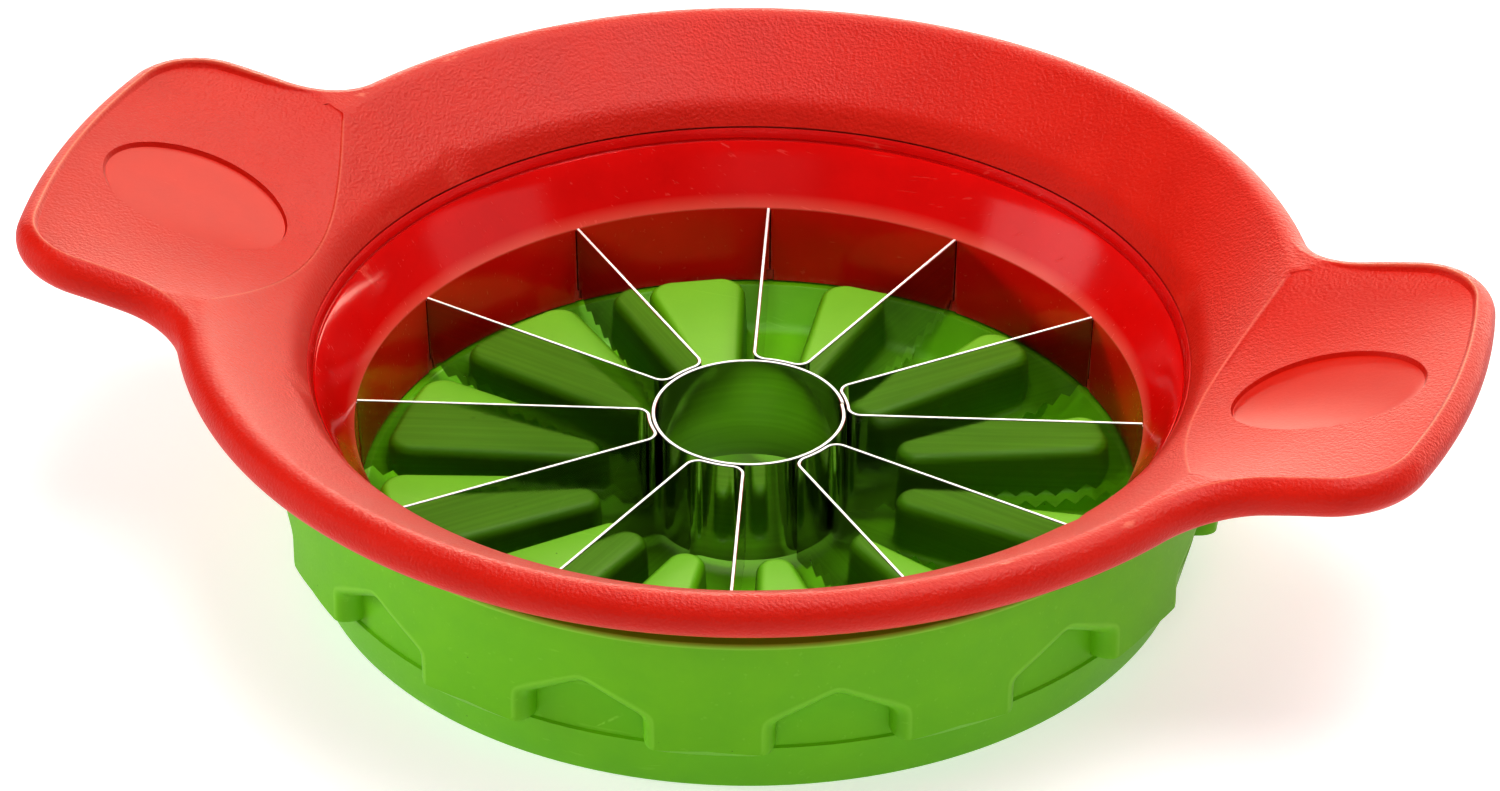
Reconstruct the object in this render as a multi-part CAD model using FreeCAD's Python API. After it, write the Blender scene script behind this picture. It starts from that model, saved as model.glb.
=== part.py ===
"""Twelve-wedge apple slicer with its lift-off base cup.

Millimetres, +Z up.  The origin is the centre of the base cup's underside, and the two
handles lie along X.  Each rigid piece is written to parts/NAME.step.
"""

import FreeCAD, Part

import math
import os

Vector = FreeCAD.Vector
UP = Vector(0, 0, 1)
ORIGIN = Vector(0, 0, 0)

# ---------------------------------------------------------------- driving dimensions
# Cutting head
CUT_RADIUS = 52.5            # foot of the glossy cone, level with the blade tops
WEDGES = 12                  # wedges per fruit, with one blade between two wedges
BLADE_THICKNESS = 0.5
BLADE_BEND = 1.8             # centre-line radius where a strip leaves the core ring
CORE_RADIUS = 13.0           # outside of the core ring
CORE_THICKNESS = 0.7
CORE_HEIGHT = 15.2
CORE_SEAM = 0.3              # open seam of the rolled core ring
CORE_SEAM_TURN = 27.5        # direction of that seam, degrees from +X
TOOTH_PITCH = 2.5
TOOTH_DEPTH = 1.2
HEEL_DEPTH = 15.0            # blade depth beside the core ring
BELLY_DEPTH = 13.9           # blade depth at the belly
BELLY_INSET = 11.5           # nearer to the wall than this the lower edge rises faster
TIP_DEPTH = 11.0             # blade depth beside the wall
TONGUE_DEPTH = 9.8           # lower edge of the tongue that passes through the wall
TONGUE_DROP = 0.4            # upper edge of that tongue below the blade top
HOOK_BEND = 0.8              # centre-line radius of the hook behind the wall
HOOK_LENGTH = 3.0            # straight end of that hook

# Blade carrier: wall and glossy cone
WALL_HEIGHT = 11.6           # slicer's lower face to the blade tops
WALL_THICKNESS = 2.0         # at the blade tops
WALL_DRAFT = 0.5             # the wall's inner face stands in by this much at its foot
CONE_ANGLE = 58.0            # degrees above horizontal
CONE_THICKNESS = 1.25
GLOSS_RUN = 4.92             # cone's foot to the fine groove where the gloss ends, level
GLOSS_GROOVE = 0.45          # width and depth of that groove
PARTING_RUN = 5.94           # cone's foot to the open joint between carrier and bowl
PARTING_GAP = 0.6

# Handle frame: bowl, rim and handles
CONE_RUN = 7.8               # cone's foot to the knee, where the bowl turns flatter
KNEE_ROUND = 6.0
FRAME_WALL = 2.6
BOWL_RUN = 12.47             # knee to the centre line of the rolled rim
RIM_RISE = 17.3              # that line above the blade tops
ROLL_RADIUS = 2.8            # rolled edge of rim and handles
RIM_HEEL_ROUND = 1.5         # inner corner of the roll, under the bowl
HANDLE_LENGTH = 25.03        # rim's centre line to the handle tip
HANDLE_HALF_WIDTH = 29.2
HANDLE_FILLET = 11.3         # where a handle side runs into the rim
HANDLE_CORNER = 11.8
HANDLE_TILT = 11.4           # mean upward slope of a handle, degrees
HANDLE_BOW = 9.3             # loss of that slope from rim to tip, degrees
HOOK_SPACE = 2.1             # wall to the bowl's sleeve, room for the blade hooks
SLEEVE_THICKNESS = 2.3       # bowl's sleeve inside the base cup
SLEEVE_LAP = 0.8             # shoulder inside the sleeve above the blade tops

# Finger scoop in each handle, ruled between two arcs
SCOOP_HALF_WIDTH = 27.5      # half chord of both arcs
SCOOP_INSET = 12.8           # inner arc inside the rim's centre line
SCOOP_DROP = 7.4             # its middle below the rim crest
SCOOP_RISE = 5.7             # its ends above its middle
SCOOP_TIP_RISE = 0.2         # the same at the handle tip
SCOOP_STEP = 0.8             # scoop below the rolled edge at the tip
SCOOP_MARGIN = 2.8           # scoop inside the handle edge
POCKET_MARGIN = 3.8          # underside pocket inside the handle edge
THUMB_PLACE = 19.3           # centre of the oval thumb recess from the handle tip
THUMB_HALF_LENGTH = 12.5
THUMB_HALF_WIDTH = 9.5
THUMB_DEPTH = 0.6

# Clamp ring
CLAMP_THICKNESS = 1.6
NIB_WIDTH = 1.3
NIB_STAND = 0.2              # nib end behind the wall's inner face

# Base cup
LEDGE_HEIGHT = 7.3           # ledge that the slicer stands on
LEDGE_LAP = 1.3              # ledge inside the cutting circle
LEDGE_SLOPE = 45.0           # from the floor up to the ledge, degrees
CUP_HEIGHT = 24.1
CUP_WALL = 3.0
CUP_LIP_ROUND = 0.7
FOOT_INSET = 3.7             # foot at the table inside the band's surface
FOOT_TOP = 7.8               # lower edge of the thick band
BAND_STEP = 1.6              # band outside the foot
FOOT_WALL = 1.9
FLOOR_TOP = 2.6
FLOOR_THICKNESS = 1.7
COVE_ROUND = 3.5             # floor into the slope below the ledge
NOTCHES = 12
NOTCH_HALF_WIDTH = 8.6       # at the band's surface
NOTCH_FLARE = 2.4            # sloping side of a notch
NOTCH_EAVES = 3.6            # height where the sides turn inward, above the band's edge
NOTCH_APEX = 8.4             # top of a notch above the band's edge
NOTCH_ROUND = 1.5
LUG_TOP = 10.0
LUG_CORE_GAP = 7.8           # inner end of a lug outside the core ring
LUG_LEDGE_GAP = 1.9          # outer end of a lug inside the ledge
LUG_TIP_HALF_WIDTH = 2.2
LUG_END_HALF_WIDTH = 7.3
LUG_TIP_ROUND = 0.95         # share of the tip's width that is rounded
LUG_CORNER = 3.4
LUG_EDGE_ROUND = 1.4
LUG_DRAFT = 0.4              # a lug grows by this much down to the floor
LUG_WALL = 1.8
CUP_TURN = -3.0              # the cup stands turned by this much under the slicer, degrees

# Clearances
SEAT_GAP = 0.3               # slicer above the ledge
CUP_PLAY = 0.3               # sleeve inside the cup
PIECE_PLAY = 0.1             # between joined pieces of the slicer
SLOT_PLAY = 0.1              # each side of a blade in its slot

# ---------------------------------------------------------------- derived places
STEP = 360.0 / WEDGES
SLICER_FOOT = LEDGE_HEIGHT + SEAT_GAP
BLADE_TOP = SLICER_FOOT + WALL_HEIGHT
RIM_HEIGHT = BLADE_TOP + RIM_RISE
BELLY_RADIUS = CUT_RADIUS - BELLY_INSET
WALL_OUTER = CUT_RADIUS + WALL_THICKNESS
GLOSS_RADIUS = CUT_RADIUS + GLOSS_RUN
PARTING_RADIUS = CUT_RADIUS + PARTING_RUN
KNEE_RADIUS = CUT_RADIUS + CONE_RUN
RIM_RADIUS = KNEE_RADIUS + BOWL_RUN
HANDLE_REACH = RIM_RADIUS + HANDLE_LENGTH
SLEEVE_BORE = WALL_OUTER + HOOK_SPACE
SLEEVE_RADIUS = SLEEVE_BORE + SLEEVE_THICKNESS
CUP_BORE = SLEEVE_RADIUS + CUP_PLAY
CUP_RADIUS = CUP_BORE + CUP_WALL
FOOT_RADIUS = CUP_RADIUS - FOOT_INSET
LEDGE_RADIUS = CUT_RADIUS - LEDGE_LAP
LUG_START = CORE_RADIUS + LUG_CORE_GAP
LUG_END = LEDGE_RADIUS - LUG_LEDGE_GAP
CLAMP_TOP = SLICER_FOOT + CLAMP_THICKNESS
SCOOP_START = RIM_RADIUS - SCOOP_INSET
SCOOP_END = HANDLE_REACH - ROLL_RADIUS
PAST = 2 * HANDLE_REACH       # length of cutting tools that pass right through
SAME_PLACE = 1e-6            # points nearer than this are one
ON_OUTLINE = 1e-3            # edges nearer than this lie on the outline


# ---------------------------------------------------------------- plane geometry
def side(radius, height):
    """Point of the profile plane, which is turned about Z."""
    return Vector(radius, 0, height)


def heading(angle):
    """Unit vector of the profile plane at this angle above horizontal."""
    return side(math.cos(math.radians(angle)), math.sin(math.radians(angle)))


def right_of(direction):
    """Unit normal on the right of a direction in the profile plane."""
    return side(direction.z, -direction.x)


def unit(vector):
    """Vector of length one with the same direction."""
    return vector / vector.Length


def meet(point, direction, other_point, other_direction):
    """Crossing point of two lines in the profile plane."""
    across = right_of(other_direction)
    travel = (other_point - point).dot(across) / direction.dot(across)
    return point + direction * travel


def shifted_corner(corner, before, after, distance):
    """Corner between two headings after both lines move right by a distance."""
    normal = right_of(before) + right_of(after)
    return corner + normal * (distance / (1.0 + right_of(before).dot(right_of(after))))


def rounded_wire(corners):
    """Closed wire through (point, radius) corners, each rounded by its tangent arc."""
    count = len(corners)
    spans = []
    for index in range(count):
        point, radius = corners[index]
        back = unit(corners[index - 1][0] - point)
        ahead = unit(corners[(index + 1) % count][0] - point)
        if radius <= 0:
            spans.append((point, None, point))
            continue
        half = back.getAngle(ahead) / 2
        run = radius / math.tan(half)
        middle = point + unit(back + ahead) * (radius / math.sin(half) - radius)
        spans.append((point + back * run, middle, point + ahead * run))
    edges = []
    for index, (start, middle, end) in enumerate(spans):
        if middle is not None:
            edges.append(Part.Arc(start, middle, end).toShape())
        following = spans[(index + 1) % count][0]
        if end.distanceToPoint(following) > SAME_PLACE:
            edges.append(Part.LineSegment(end, following).toShape())
    return Part.Wire(edges)


def turned(corners):
    """Solid of revolution about Z from a rounded profile."""
    return Part.Face(rounded_wire(corners)).revolve(ORIGIN, UP, 360)


def prism(wire, bottom, top):
    """Upright solid over a plan wire."""
    face = Part.Face(wire)
    face.translate(UP * bottom)
    return face.extrude(UP * (top - bottom))


def around(shape, angle):
    """Copy of a shape turned about Z."""
    copy = shape.copy()
    copy.rotate(ORIGIN, UP, angle)
    return copy


def ring_of(shape, count, first):
    """Copies of a shape at equal steps round Z."""
    return [around(shape, first + index * 360.0 / count) for index in range(count)]


# ---------------------------------------------------------------- bowl line
CONE = heading(CONE_ANGLE)


def cone_point(radius):
    """Point of the cone's inner surface at a radius."""
    rise = (radius - CUT_RADIUS) * math.tan(math.radians(CONE_ANGLE))
    return side(radius, BLADE_TOP + rise)


def behind_cone(radius, distance):
    """Point at a distance behind the cone's inner surface."""
    return cone_point(radius) + right_of(CONE) * distance


KNEE = cone_point(KNEE_RADIUS)
RIM = side(RIM_RADIUS, RIM_HEIGHT)


def bowl_heading():
    """Upper bowl, from the knee to a tangent on the rolled rim."""
    chord = RIM - KNEE
    lift = math.degrees(math.asin(ROLL_RADIUS / chord.Length))
    return heading(math.degrees(math.atan2(chord.z, chord.x)) + lift)


BOWL = bowl_heading()
KNEE_BACK = shifted_corner(KNEE, CONE, BOWL, FRAME_WALL)
HANDLE_ROOT = heading(HANDLE_TILT + HANDLE_BOW / 2)
HANDLE_TIP = heading(HANDLE_TILT - HANDLE_BOW / 2)


def handle_bend():
    """Corner and radius of the arc that a handle's mid surface follows."""
    run = (SCOOP_END - RIM_RADIUS) / (HANDLE_ROOT.x + HANDLE_TIP.x)
    radius = run / math.tan(math.radians(HANDLE_BOW / 2))
    return RIM + HANDLE_ROOT * run, radius


def handle_tip_top():
    """Height of the rolled edge's crest at a handle tip."""
    corner, radius = handle_bend()
    run = radius * math.tan(math.radians(HANDLE_BOW / 2))
    return (corner + HANDLE_TIP * run).z + ROLL_RADIUS


# ---------------------------------------------------------------- handle frame
def frame_profile():
    """Bowl, rolled rim and sleeve, with the rim drawn out to the handle tips."""
    bend, bend_radius = handle_bend()
    top_bend = shifted_corner(bend, HANDLE_ROOT, HANDLE_TIP, -ROLL_RADIUS)
    low_bend = shifted_corner(bend, HANDLE_ROOT, HANDLE_TIP, ROLL_RADIUS)
    past_tip = side(HANDLE_REACH + ROLL_RADIUS, 0)
    plumb = heading(90)
    heel = side(RIM_RADIUS - ROLL_RADIUS, 0)
    play = CONE_THICKNESS + PIECE_PLAY
    joint = PARTING_RADIUS + PARTING_GAP / 2 * CONE.x
    shoulder = BLADE_TOP + SLEEVE_LAP
    level = heading(0)
    sleeve_foot = CLAMP_TOP + PIECE_PLAY
    return [
        (cone_point(joint), 0),
        (KNEE, KNEE_ROUND),
        (meet(KNEE, BOWL, top_bend, HANDLE_ROOT), ROLL_RADIUS),
        (top_bend, bend_radius + ROLL_RADIUS),
        (meet(top_bend, HANDLE_TIP, past_tip, plumb), 0),
        (meet(low_bend, HANDLE_TIP, past_tip, plumb), 0),
        (low_bend, bend_radius - ROLL_RADIUS),
        (meet(low_bend, HANDLE_ROOT, heel, plumb), RIM_HEEL_ROUND),
        (meet(KNEE_BACK, BOWL, heel, plumb), 0),
        (KNEE_BACK, KNEE_ROUND - FRAME_WALL),
        (meet(KNEE_BACK, CONE, side(SLEEVE_RADIUS, 0), plumb), 0),
        (side(SLEEVE_RADIUS, sleeve_foot), 0),
        (side(SLEEVE_BORE, sleeve_foot), 0),
        (side(SLEEVE_BORE, shoulder), 0),
        (meet(behind_cone(KNEE_RADIUS, play), CONE, side(0, shoulder), level), 0),
        (behind_cone(joint, play), 0),
    ]


def handle_outline(inset):
    """Plan of rim and handles, moved inward by an inset."""
    rim = RIM_RADIUS + ROLL_RADIUS - inset
    half = HANDLE_HALF_WIDTH - inset
    fillet = HANDLE_FILLET + inset
    corner = HANDLE_CORNER - inset
    reach = HANDLE_REACH - inset
    sideways = Vector(0, 1, 0)
    fillet_x = math.sqrt((rim + fillet) ** 2 - (half + fillet) ** 2)
    fillet_centre = Vector(fillet_x, half + fillet, 0)
    on_rim = fillet_centre * (rim / (rim + fillet))
    corner_x = math.sqrt((reach - corner) ** 2 - (half - corner) ** 2)
    corner_centre = Vector(corner_x, half - corner, 0)
    on_tip = corner_centre * (reach / (reach - corner))
    fillet_mid = fillet_centre + unit(unit(on_rim - fillet_centre) - sideways) * fillet
    corner_mid = corner_centre + unit(unit(corner_centre) + sideways) * corner
    quarter = [
        Part.Arc(on_rim, fillet_mid, Vector(fillet_x, half, 0)).toShape(),
        Part.LineSegment(Vector(fillet_x, half, 0), Vector(corner_x, half, 0)).toShape(),
        Part.Arc(Vector(corner_x, half, 0), corner_mid, on_tip).toShape(),
    ]
    edges = [edge.mirror(ORIGIN, axis) for edge in quarter for axis in (Vector(1, 0, 0), Vector(0, 1, 0))]
    edges += quarter + [around(edge, 180) for edge in quarter]
    for sign in (1, -1):
        tip_end = Vector(on_tip.x * sign, -on_tip.y, 0)
        tip = Part.Arc(Vector(tip_end.x, on_tip.y, 0), Vector(reach * sign, 0, 0), tip_end)
        rim_end = Vector(-on_rim.x, on_rim.y * sign, 0)
        side_rim = Part.Arc(Vector(on_rim.x, rim_end.y, 0), Vector(0, rim * sign, 0), rim_end)
        edges += [tip.toShape(), side_rim.toShape()]
    return Part.Wire(Part.__sortEdges__(edges))


def roll_edges(plate):
    """Upper and lower outer edges of the frame, which are rolled round."""
    outline = handle_outline(0)
    found = []
    for edge in plate.Edges:
        middle = edge.valueAt((edge.FirstParameter + edge.LastParameter) / 2)
        flat = Part.Vertex(middle.x, middle.y, 0)
        box = edge.BoundBox
        upright = box.ZLength > ROLL_RADIUS and max(box.XLength, box.YLength) < ROLL_RADIUS
        if flat.distToShape(outline)[0] < ON_OUTLINE and not upright:
            found.append(edge)
    return found


def scoop_section(x, drop, height):
    """Upright face at x, from the scoop arc moved down by a drop to a height."""
    share = (x - SCOOP_START) / (SCOOP_END - SCOOP_START)
    start = RIM_HEIGHT + ROLL_RADIUS - SCOOP_DROP
    end = handle_tip_top() - SCOOP_STEP
    middle = start + (end - start) * share - drop
    rise = SCOOP_RISE + (SCOOP_TIP_RISE - SCOOP_RISE) * share
    half = SCOOP_HALF_WIDTH + ROLL_RADIUS
    rise *= (half / SCOOP_HALF_WIDTH) ** 2
    left = Vector(x, half, middle + rise)
    right = Vector(x, -half, middle + rise)
    corners = [left, Vector(x, half, height), Vector(x, -half, height), right]
    edges = [Part.LineSegment(a, b).toShape() for a, b in zip(corners, corners[1:])]
    edges.append(Part.Arc(right, Vector(x, 0, middle), left).toShape())
    return Part.Wire(edges)


def scoop_block(drop, height):
    """Everything from the lowered scoop surface to a height, over one handle."""
    far = HANDLE_REACH + ROLL_RADIUS
    sections = [scoop_section(SCOOP_START, drop, height), scoop_section(far, drop, height)]
    return Part.makeLoft(sections, True, True)


def thumb_oval(top):
    """Upright oval over the middle of a handle."""
    oval = Part.Ellipse(ORIGIN, THUMB_HALF_LENGTH, THUMB_HALF_WIDTH)
    solid = prism(Part.Wire(oval.toShape()), 0, top)
    solid.translate(Vector(HANDLE_REACH - THUMB_PLACE, 0, 0))
    return solid


def behind_bowl(reach):
    """Bowl and everything above it, out to a radius."""
    foot = meet(KNEE_BACK, CONE, side(SLEEVE_RADIUS, 0), heading(90))
    return turned([
        (side(0, 0), 0),
        (side(SLEEVE_RADIUS, 0), 0),
        (foot, 0),
        (KNEE_BACK, KNEE_ROUND - FRAME_WALL),
        (meet(KNEE_BACK, BOWL, side(reach, 0), heading(90)), 0),
        (side(reach, PAST), 0),
        (side(0, PAST), 0),
    ])


def bowl_space(reach):
    """Open space inside the funnel."""
    return turned([
        (side(0, 0), 0),
        (side(CUT_RADIUS, 0), 0),
        (side(CUT_RADIUS, BLADE_TOP), 0),
        (KNEE, KNEE_ROUND),
        (meet(KNEE, BOWL, side(reach, 0), heading(90)), 0),
        (side(reach, PAST), 0),
        (side(0, PAST), 0),
    ])


def handle_frame():
    """Bowl with rolled rim, two scooped handles and the sleeve inside the cup."""
    plate = turned(frame_profile()).common(prism(handle_outline(0), 0, PAST))
    frame = plate.makeFillet(ROLL_RADIUS - PIECE_PLAY, roll_edges(plate))
    reach = RIM_RADIUS + ROLL_RADIUS
    above = RIM_HEIGHT + HANDLE_REACH
    pocket = scoop_block(FRAME_WALL, 0).common(prism(handle_outline(POCKET_MARGIN), 0, PAST))
    pocket = pocket.cut(behind_bowl(reach))
    panel_plan = prism(handle_outline(POCKET_MARGIN - PIECE_PLAY), 0, PAST)
    panel = scoop_block(FRAME_WALL, above).common(panel_plan)
    panel = panel.cut(scoop_block(-PIECE_PLAY, above)).cut(bowl_space(reach))
    scoop = scoop_block(0, above).common(prism(handle_outline(SCOOP_MARGIN), 0, PAST))
    thumb = scoop_block(THUMB_DEPTH, above).common(thumb_oval(above))
    for angle in (0, 180):
        frame = frame.cut(around(pocket, angle))
        frame = frame.fuse(around(panel, angle))
        frame = frame.cut(around(scoop, angle))
        frame = frame.cut(around(thumb, angle))
    return frame


# ---------------------------------------------------------------- blade carrier
def slot_tool(width, top):
    """Upright cutter through the wall along +X, open below."""
    length = 2 * WALL_THICKNESS + WALL_DRAFT
    start = CUT_RADIUS - WALL_DRAFT - WALL_THICKNESS / 2
    return Part.makeBox(length, width, top, Vector(start, -width / 2, 0))


def blade_carrier():
    """Slotted wall with the glossy cone above it."""
    lip = PARTING_RADIUS - PARTING_GAP / 2 * CONE.x
    groove_low = cone_point(GLOSS_RADIUS)
    groove_high = groove_low + CONE * GLOSS_GROOVE
    depth = right_of(CONE) * GLOSS_GROOVE
    shoulder = meet(behind_cone(KNEE_RADIUS, CONE_THICKNESS), CONE, side(WALL_OUTER, 0), heading(90))
    body = turned([
        (side(CUT_RADIUS - WALL_DRAFT, SLICER_FOOT), 0),
        (side(CUT_RADIUS, BLADE_TOP), 0),
        (groove_low, 0),
        (groove_low + depth, 0),
        (groove_high + depth, 0),
        (groove_high, 0),
        (cone_point(lip), 0),
        (behind_cone(lip, CONE_THICKNESS), 0),
        (shoulder, 0),
        (side(WALL_OUTER, SLICER_FOOT), 0),
    ])
    blade_slot = slot_tool(BLADE_THICKNESS + 2 * SLOT_PLAY, BLADE_TOP - TONGUE_DROP + SLOT_PLAY)
    nib_slot = slot_tool(NIB_WIDTH + 2 * SLOT_PLAY, CLAMP_TOP + SLOT_PLAY)
    slots = ring_of(blade_slot.fuse(nib_slot), WEDGES, STEP / 2)
    return body.cut(slots)


def clamp_ring():
    """Ring that closes the slots from below, with one nib under each blade end."""
    bore = WALL_OUTER + PIECE_PLAY
    ring = turned([
        (side(bore, SLICER_FOOT), 0),
        (side(SLEEVE_RADIUS, SLICER_FOOT), 0),
        (side(SLEEVE_RADIUS, CLAMP_TOP), 0),
        (side(bore, CLAMP_TOP), 0),
    ])
    start = CUT_RADIUS - WALL_DRAFT + NIB_STAND
    length = bore - start + SLEEVE_THICKNESS / 2
    nib = Part.makeBox(length, NIB_WIDTH, CLAMP_THICKNESS, Vector(start, -NIB_WIDTH / 2, SLICER_FOOT))
    return ring.fuse(ring_of(nib, WEDGES, STEP / 2)).removeSplitter()


# ---------------------------------------------------------------- blades
def strip_side(offset):
    """One face of a strip in plan, from its middle to the end of the hook on the +Y arm.

    A positive offset lies on the side of the wedge that the strip's two arms enclose.
    """
    ray = Vector(math.cos(math.radians(STEP / 2)), math.sin(math.radians(STEP / 2)), 0)
    away = Vector(-ray.y, ray.x, 0)
    ring = CORE_RADIUS + PIECE_PLAY + BLADE_THICKNESS / 2
    reach = ring + BLADE_BEND
    bend_angle = math.radians(STEP / 2) - math.asin(BLADE_BEND / reach)
    toward = Vector(math.cos(bend_angle), math.sin(bend_angle), 0)
    bend_centre = toward * reach
    bend = BLADE_BEND - offset
    hook_line = (WALL_OUTER + SLEEVE_BORE) / 2
    hook_centre = ray * (hook_line - HOOK_BEND) + away * HOOK_BEND
    hook = HOOK_BEND + offset
    arm_start = bend_centre + away * bend
    arm_end = hook_centre - away * hook
    hook_start = hook_centre + ray * hook
    return [
        Part.Arc(Vector(ring + offset, 0, 0), arc_point(ring + offset, bend_angle / 2),
                 toward * (ring + offset)).toShape(),
        Part.Arc(toward * (ring + offset), bend_centre + unit(away - toward) * bend,
                 arm_start).toShape(),
        Part.LineSegment(arm_start, arm_end).toShape(),
        Part.Arc(arm_end, hook_centre + unit(ray - away) * hook, hook_start).toShape(),
        Part.LineSegment(hook_start, hook_start + away * HOOK_LENGTH).toShape(),
    ]


def arc_point(radius, angle):
    """Plan point at a radius and an angle in radians."""
    return Vector(radius * math.cos(angle), radius * math.sin(angle), 0)


def strip_plan():
    """Closed plan outline of a strip whose two arms lie at equal angles about +X."""
    half = BLADE_THICKNESS / 2
    near = strip_side(half)
    far = strip_side(-half)
    cap = Part.LineSegment(near[-1].Vertexes[-1].Point, far[-1].Vertexes[-1].Point).toShape()
    upper = near + far + [cap]
    lower = [edge.mirror(ORIGIN, Vector(0, 1, 0)) for edge in upper]
    return Part.Wire(Part.__sortEdges__(upper + lower))


def edge_depth(radius):
    """Depth of the tooth tips below the blade top."""
    if radius < BELLY_RADIUS:
        share = (radius - CORE_RADIUS) / (BELLY_RADIUS - CORE_RADIUS)
        return HEEL_DEPTH + (BELLY_DEPTH - HEEL_DEPTH) * share
    share = (radius - BELLY_RADIUS) / (CUT_RADIUS - BELLY_RADIUS)
    return BELLY_DEPTH + (TIP_DEPTH - BELLY_DEPTH) * share


def teeth_tool():
    """Cutter below the serrated edge of an arm that lies along +X."""
    start = CORE_RADIUS + BLADE_THICKNESS + 2 * BLADE_BEND
    end = CUT_RADIUS - WALL_DRAFT - PIECE_PLAY
    count = int((end - start) / TOOTH_PITCH)
    pitch = (end - start) / count
    points = []
    for index in range(count):
        tip = start + index * pitch
        root = tip + pitch / 2
        points.append(side(tip, BLADE_TOP - edge_depth(tip)))
        points.append(side(root, BLADE_TOP - edge_depth(root) + TOOTH_DEPTH))
    points.append(side(end, BLADE_TOP - edge_depth(end)))
    low = BLADE_TOP - HEEL_DEPTH - TOOTH_DEPTH
    points += [side(end, low), side(start, low)]
    wide = 2 * BLADE_THICKNESS
    face = Part.Face(Part.makePolygon(points + points[:1]))
    face.translate(Vector(0, -wide, 0))
    return face.extrude(Vector(0, 2 * wide, 0))


def tongue_tools():
    """Cutters above and below the tongue of an arm that lies along +X."""
    wide = HOOK_LENGTH + 2 * HOOK_BEND
    end = CUT_RADIUS - WALL_DRAFT - PIECE_PLAY
    below = Part.makeBox(PAST, 2 * wide, BLADE_TOP - TONGUE_DEPTH, Vector(end, -wide, 0))
    top = CUT_RADIUS - PIECE_PLAY
    above = Part.makeBox(PAST, 2 * wide, PAST, Vector(top, -wide, BLADE_TOP - TONGUE_DROP))
    return [below, above]


def blade_strip(middle_angle):
    """Strip bent round the core ring into two serrated blades."""
    strip = prism(strip_plan(), BLADE_TOP - HEEL_DEPTH, BLADE_TOP)
    tools = [teeth_tool()] + tongue_tools()
    for angle in (STEP / 2, -STEP / 2):
        strip = strip.cut([around(tool, angle) for tool in tools])
    return around(strip, middle_angle)


def core_ring():
    """Rolled steel tube that cuts out the core."""
    foot = BLADE_TOP - CORE_HEIGHT
    bore = CORE_RADIUS - CORE_THICKNESS
    ring = turned([
        (side(bore, foot), 0),
        (side(CORE_RADIUS, foot), 0),
        (side(CORE_RADIUS, BLADE_TOP), 0),
        (side(bore, BLADE_TOP), 0),
    ])
    seam = Part.makeBox(PAST, CORE_SEAM, PAST, Vector(0, -CORE_SEAM / 2, 0))
    return ring.cut(around(seam, CORE_SEAM_TURN))


# ---------------------------------------------------------------- base cup
def cup_body():
    """Foot, thick band, ledge and floor, with even walls."""
    slope = (LEDGE_HEIGHT - FLOOR_TOP) / math.tan(math.radians(LEDGE_SLOPE))
    under = FLOOR_TOP - FLOOR_THICKNESS
    ledge_under = LEDGE_HEIGHT - FLOOR_THICKNESS
    foot_top_radius = CUP_RADIUS - BAND_STEP
    miter = FLOOR_THICKNESS * math.tan(math.radians(LEDGE_SLOPE / 2))
    return turned([
        (side(0, FLOOR_TOP), 0),
        (side(LEDGE_RADIUS - slope, FLOOR_TOP), COVE_ROUND),
        (side(LEDGE_RADIUS, LEDGE_HEIGHT), CUP_LIP_ROUND),
        (side(CUP_BORE, LEDGE_HEIGHT), 0),
        (side(CUP_BORE, CUP_HEIGHT), CUP_LIP_ROUND),
        (side(CUP_RADIUS, CUP_HEIGHT), CUP_LIP_ROUND),
        (side(CUP_RADIUS, FOOT_TOP), 0),
        (side(foot_top_radius, FOOT_TOP), 0),
        (side(FOOT_RADIUS, 0), CUP_LIP_ROUND),
        (side(FOOT_RADIUS - FOOT_WALL, 0), 0),
        (side(foot_top_radius - 2 * FOOT_WALL, ledge_under), 0),
        (side(LEDGE_RADIUS + miter, ledge_under), 0),
        (side(LEDGE_RADIUS - slope + miter, under), 0),
        (side(0, under), 0),
    ])


def lug_plan(inset, grow):
    """Plan of a lug along +X, moved inward by an inset and outward by its growth."""
    slope = (LUG_END_HALF_WIDTH - LUG_TIP_HALF_WIDTH) / (LUG_END - LUG_START)
    lean = math.atan(slope)
    move = grow - inset
    start = LUG_START - move
    end = LUG_END + move
    start_half = LUG_TIP_HALF_WIDTH - slope * move + move / math.cos(lean)
    end_half = LUG_END_HALF_WIDTH + slope * move + move / math.cos(lean)
    tip_round = LUG_TIP_ROUND * start_half / math.tan(math.pi / 4 - lean / 2)
    corner = LUG_CORNER + move
    return rounded_wire([
        (Vector(start, -start_half, 0), tip_round),
        (Vector(end, -end_half, 0), corner),
        (Vector(end, end_half, 0), corner),
        (Vector(start, start_half, 0), tip_round),
    ])


def drafted(inset, bottom, top):
    """Lug solid between two heights, a little larger at the bottom."""
    low = lug_plan(inset, LUG_DRAFT)
    low.translate(UP * bottom)
    high = lug_plan(inset, 0)
    high.translate(UP * top)
    return Part.makeLoft([low, high], True, True)


def lug():
    """Wedge-shaped lug with a rounded top edge."""
    solid = drafted(0, FLOOR_TOP - FLOOR_THICKNESS / 2, LUG_TOP)
    rim = [edge for edge in solid.Edges if edge.BoundBox.ZMin > LUG_TOP - LUG_EDGE_ROUND]
    return solid.makeFillet(LUG_EDGE_ROUND, rim)


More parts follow.
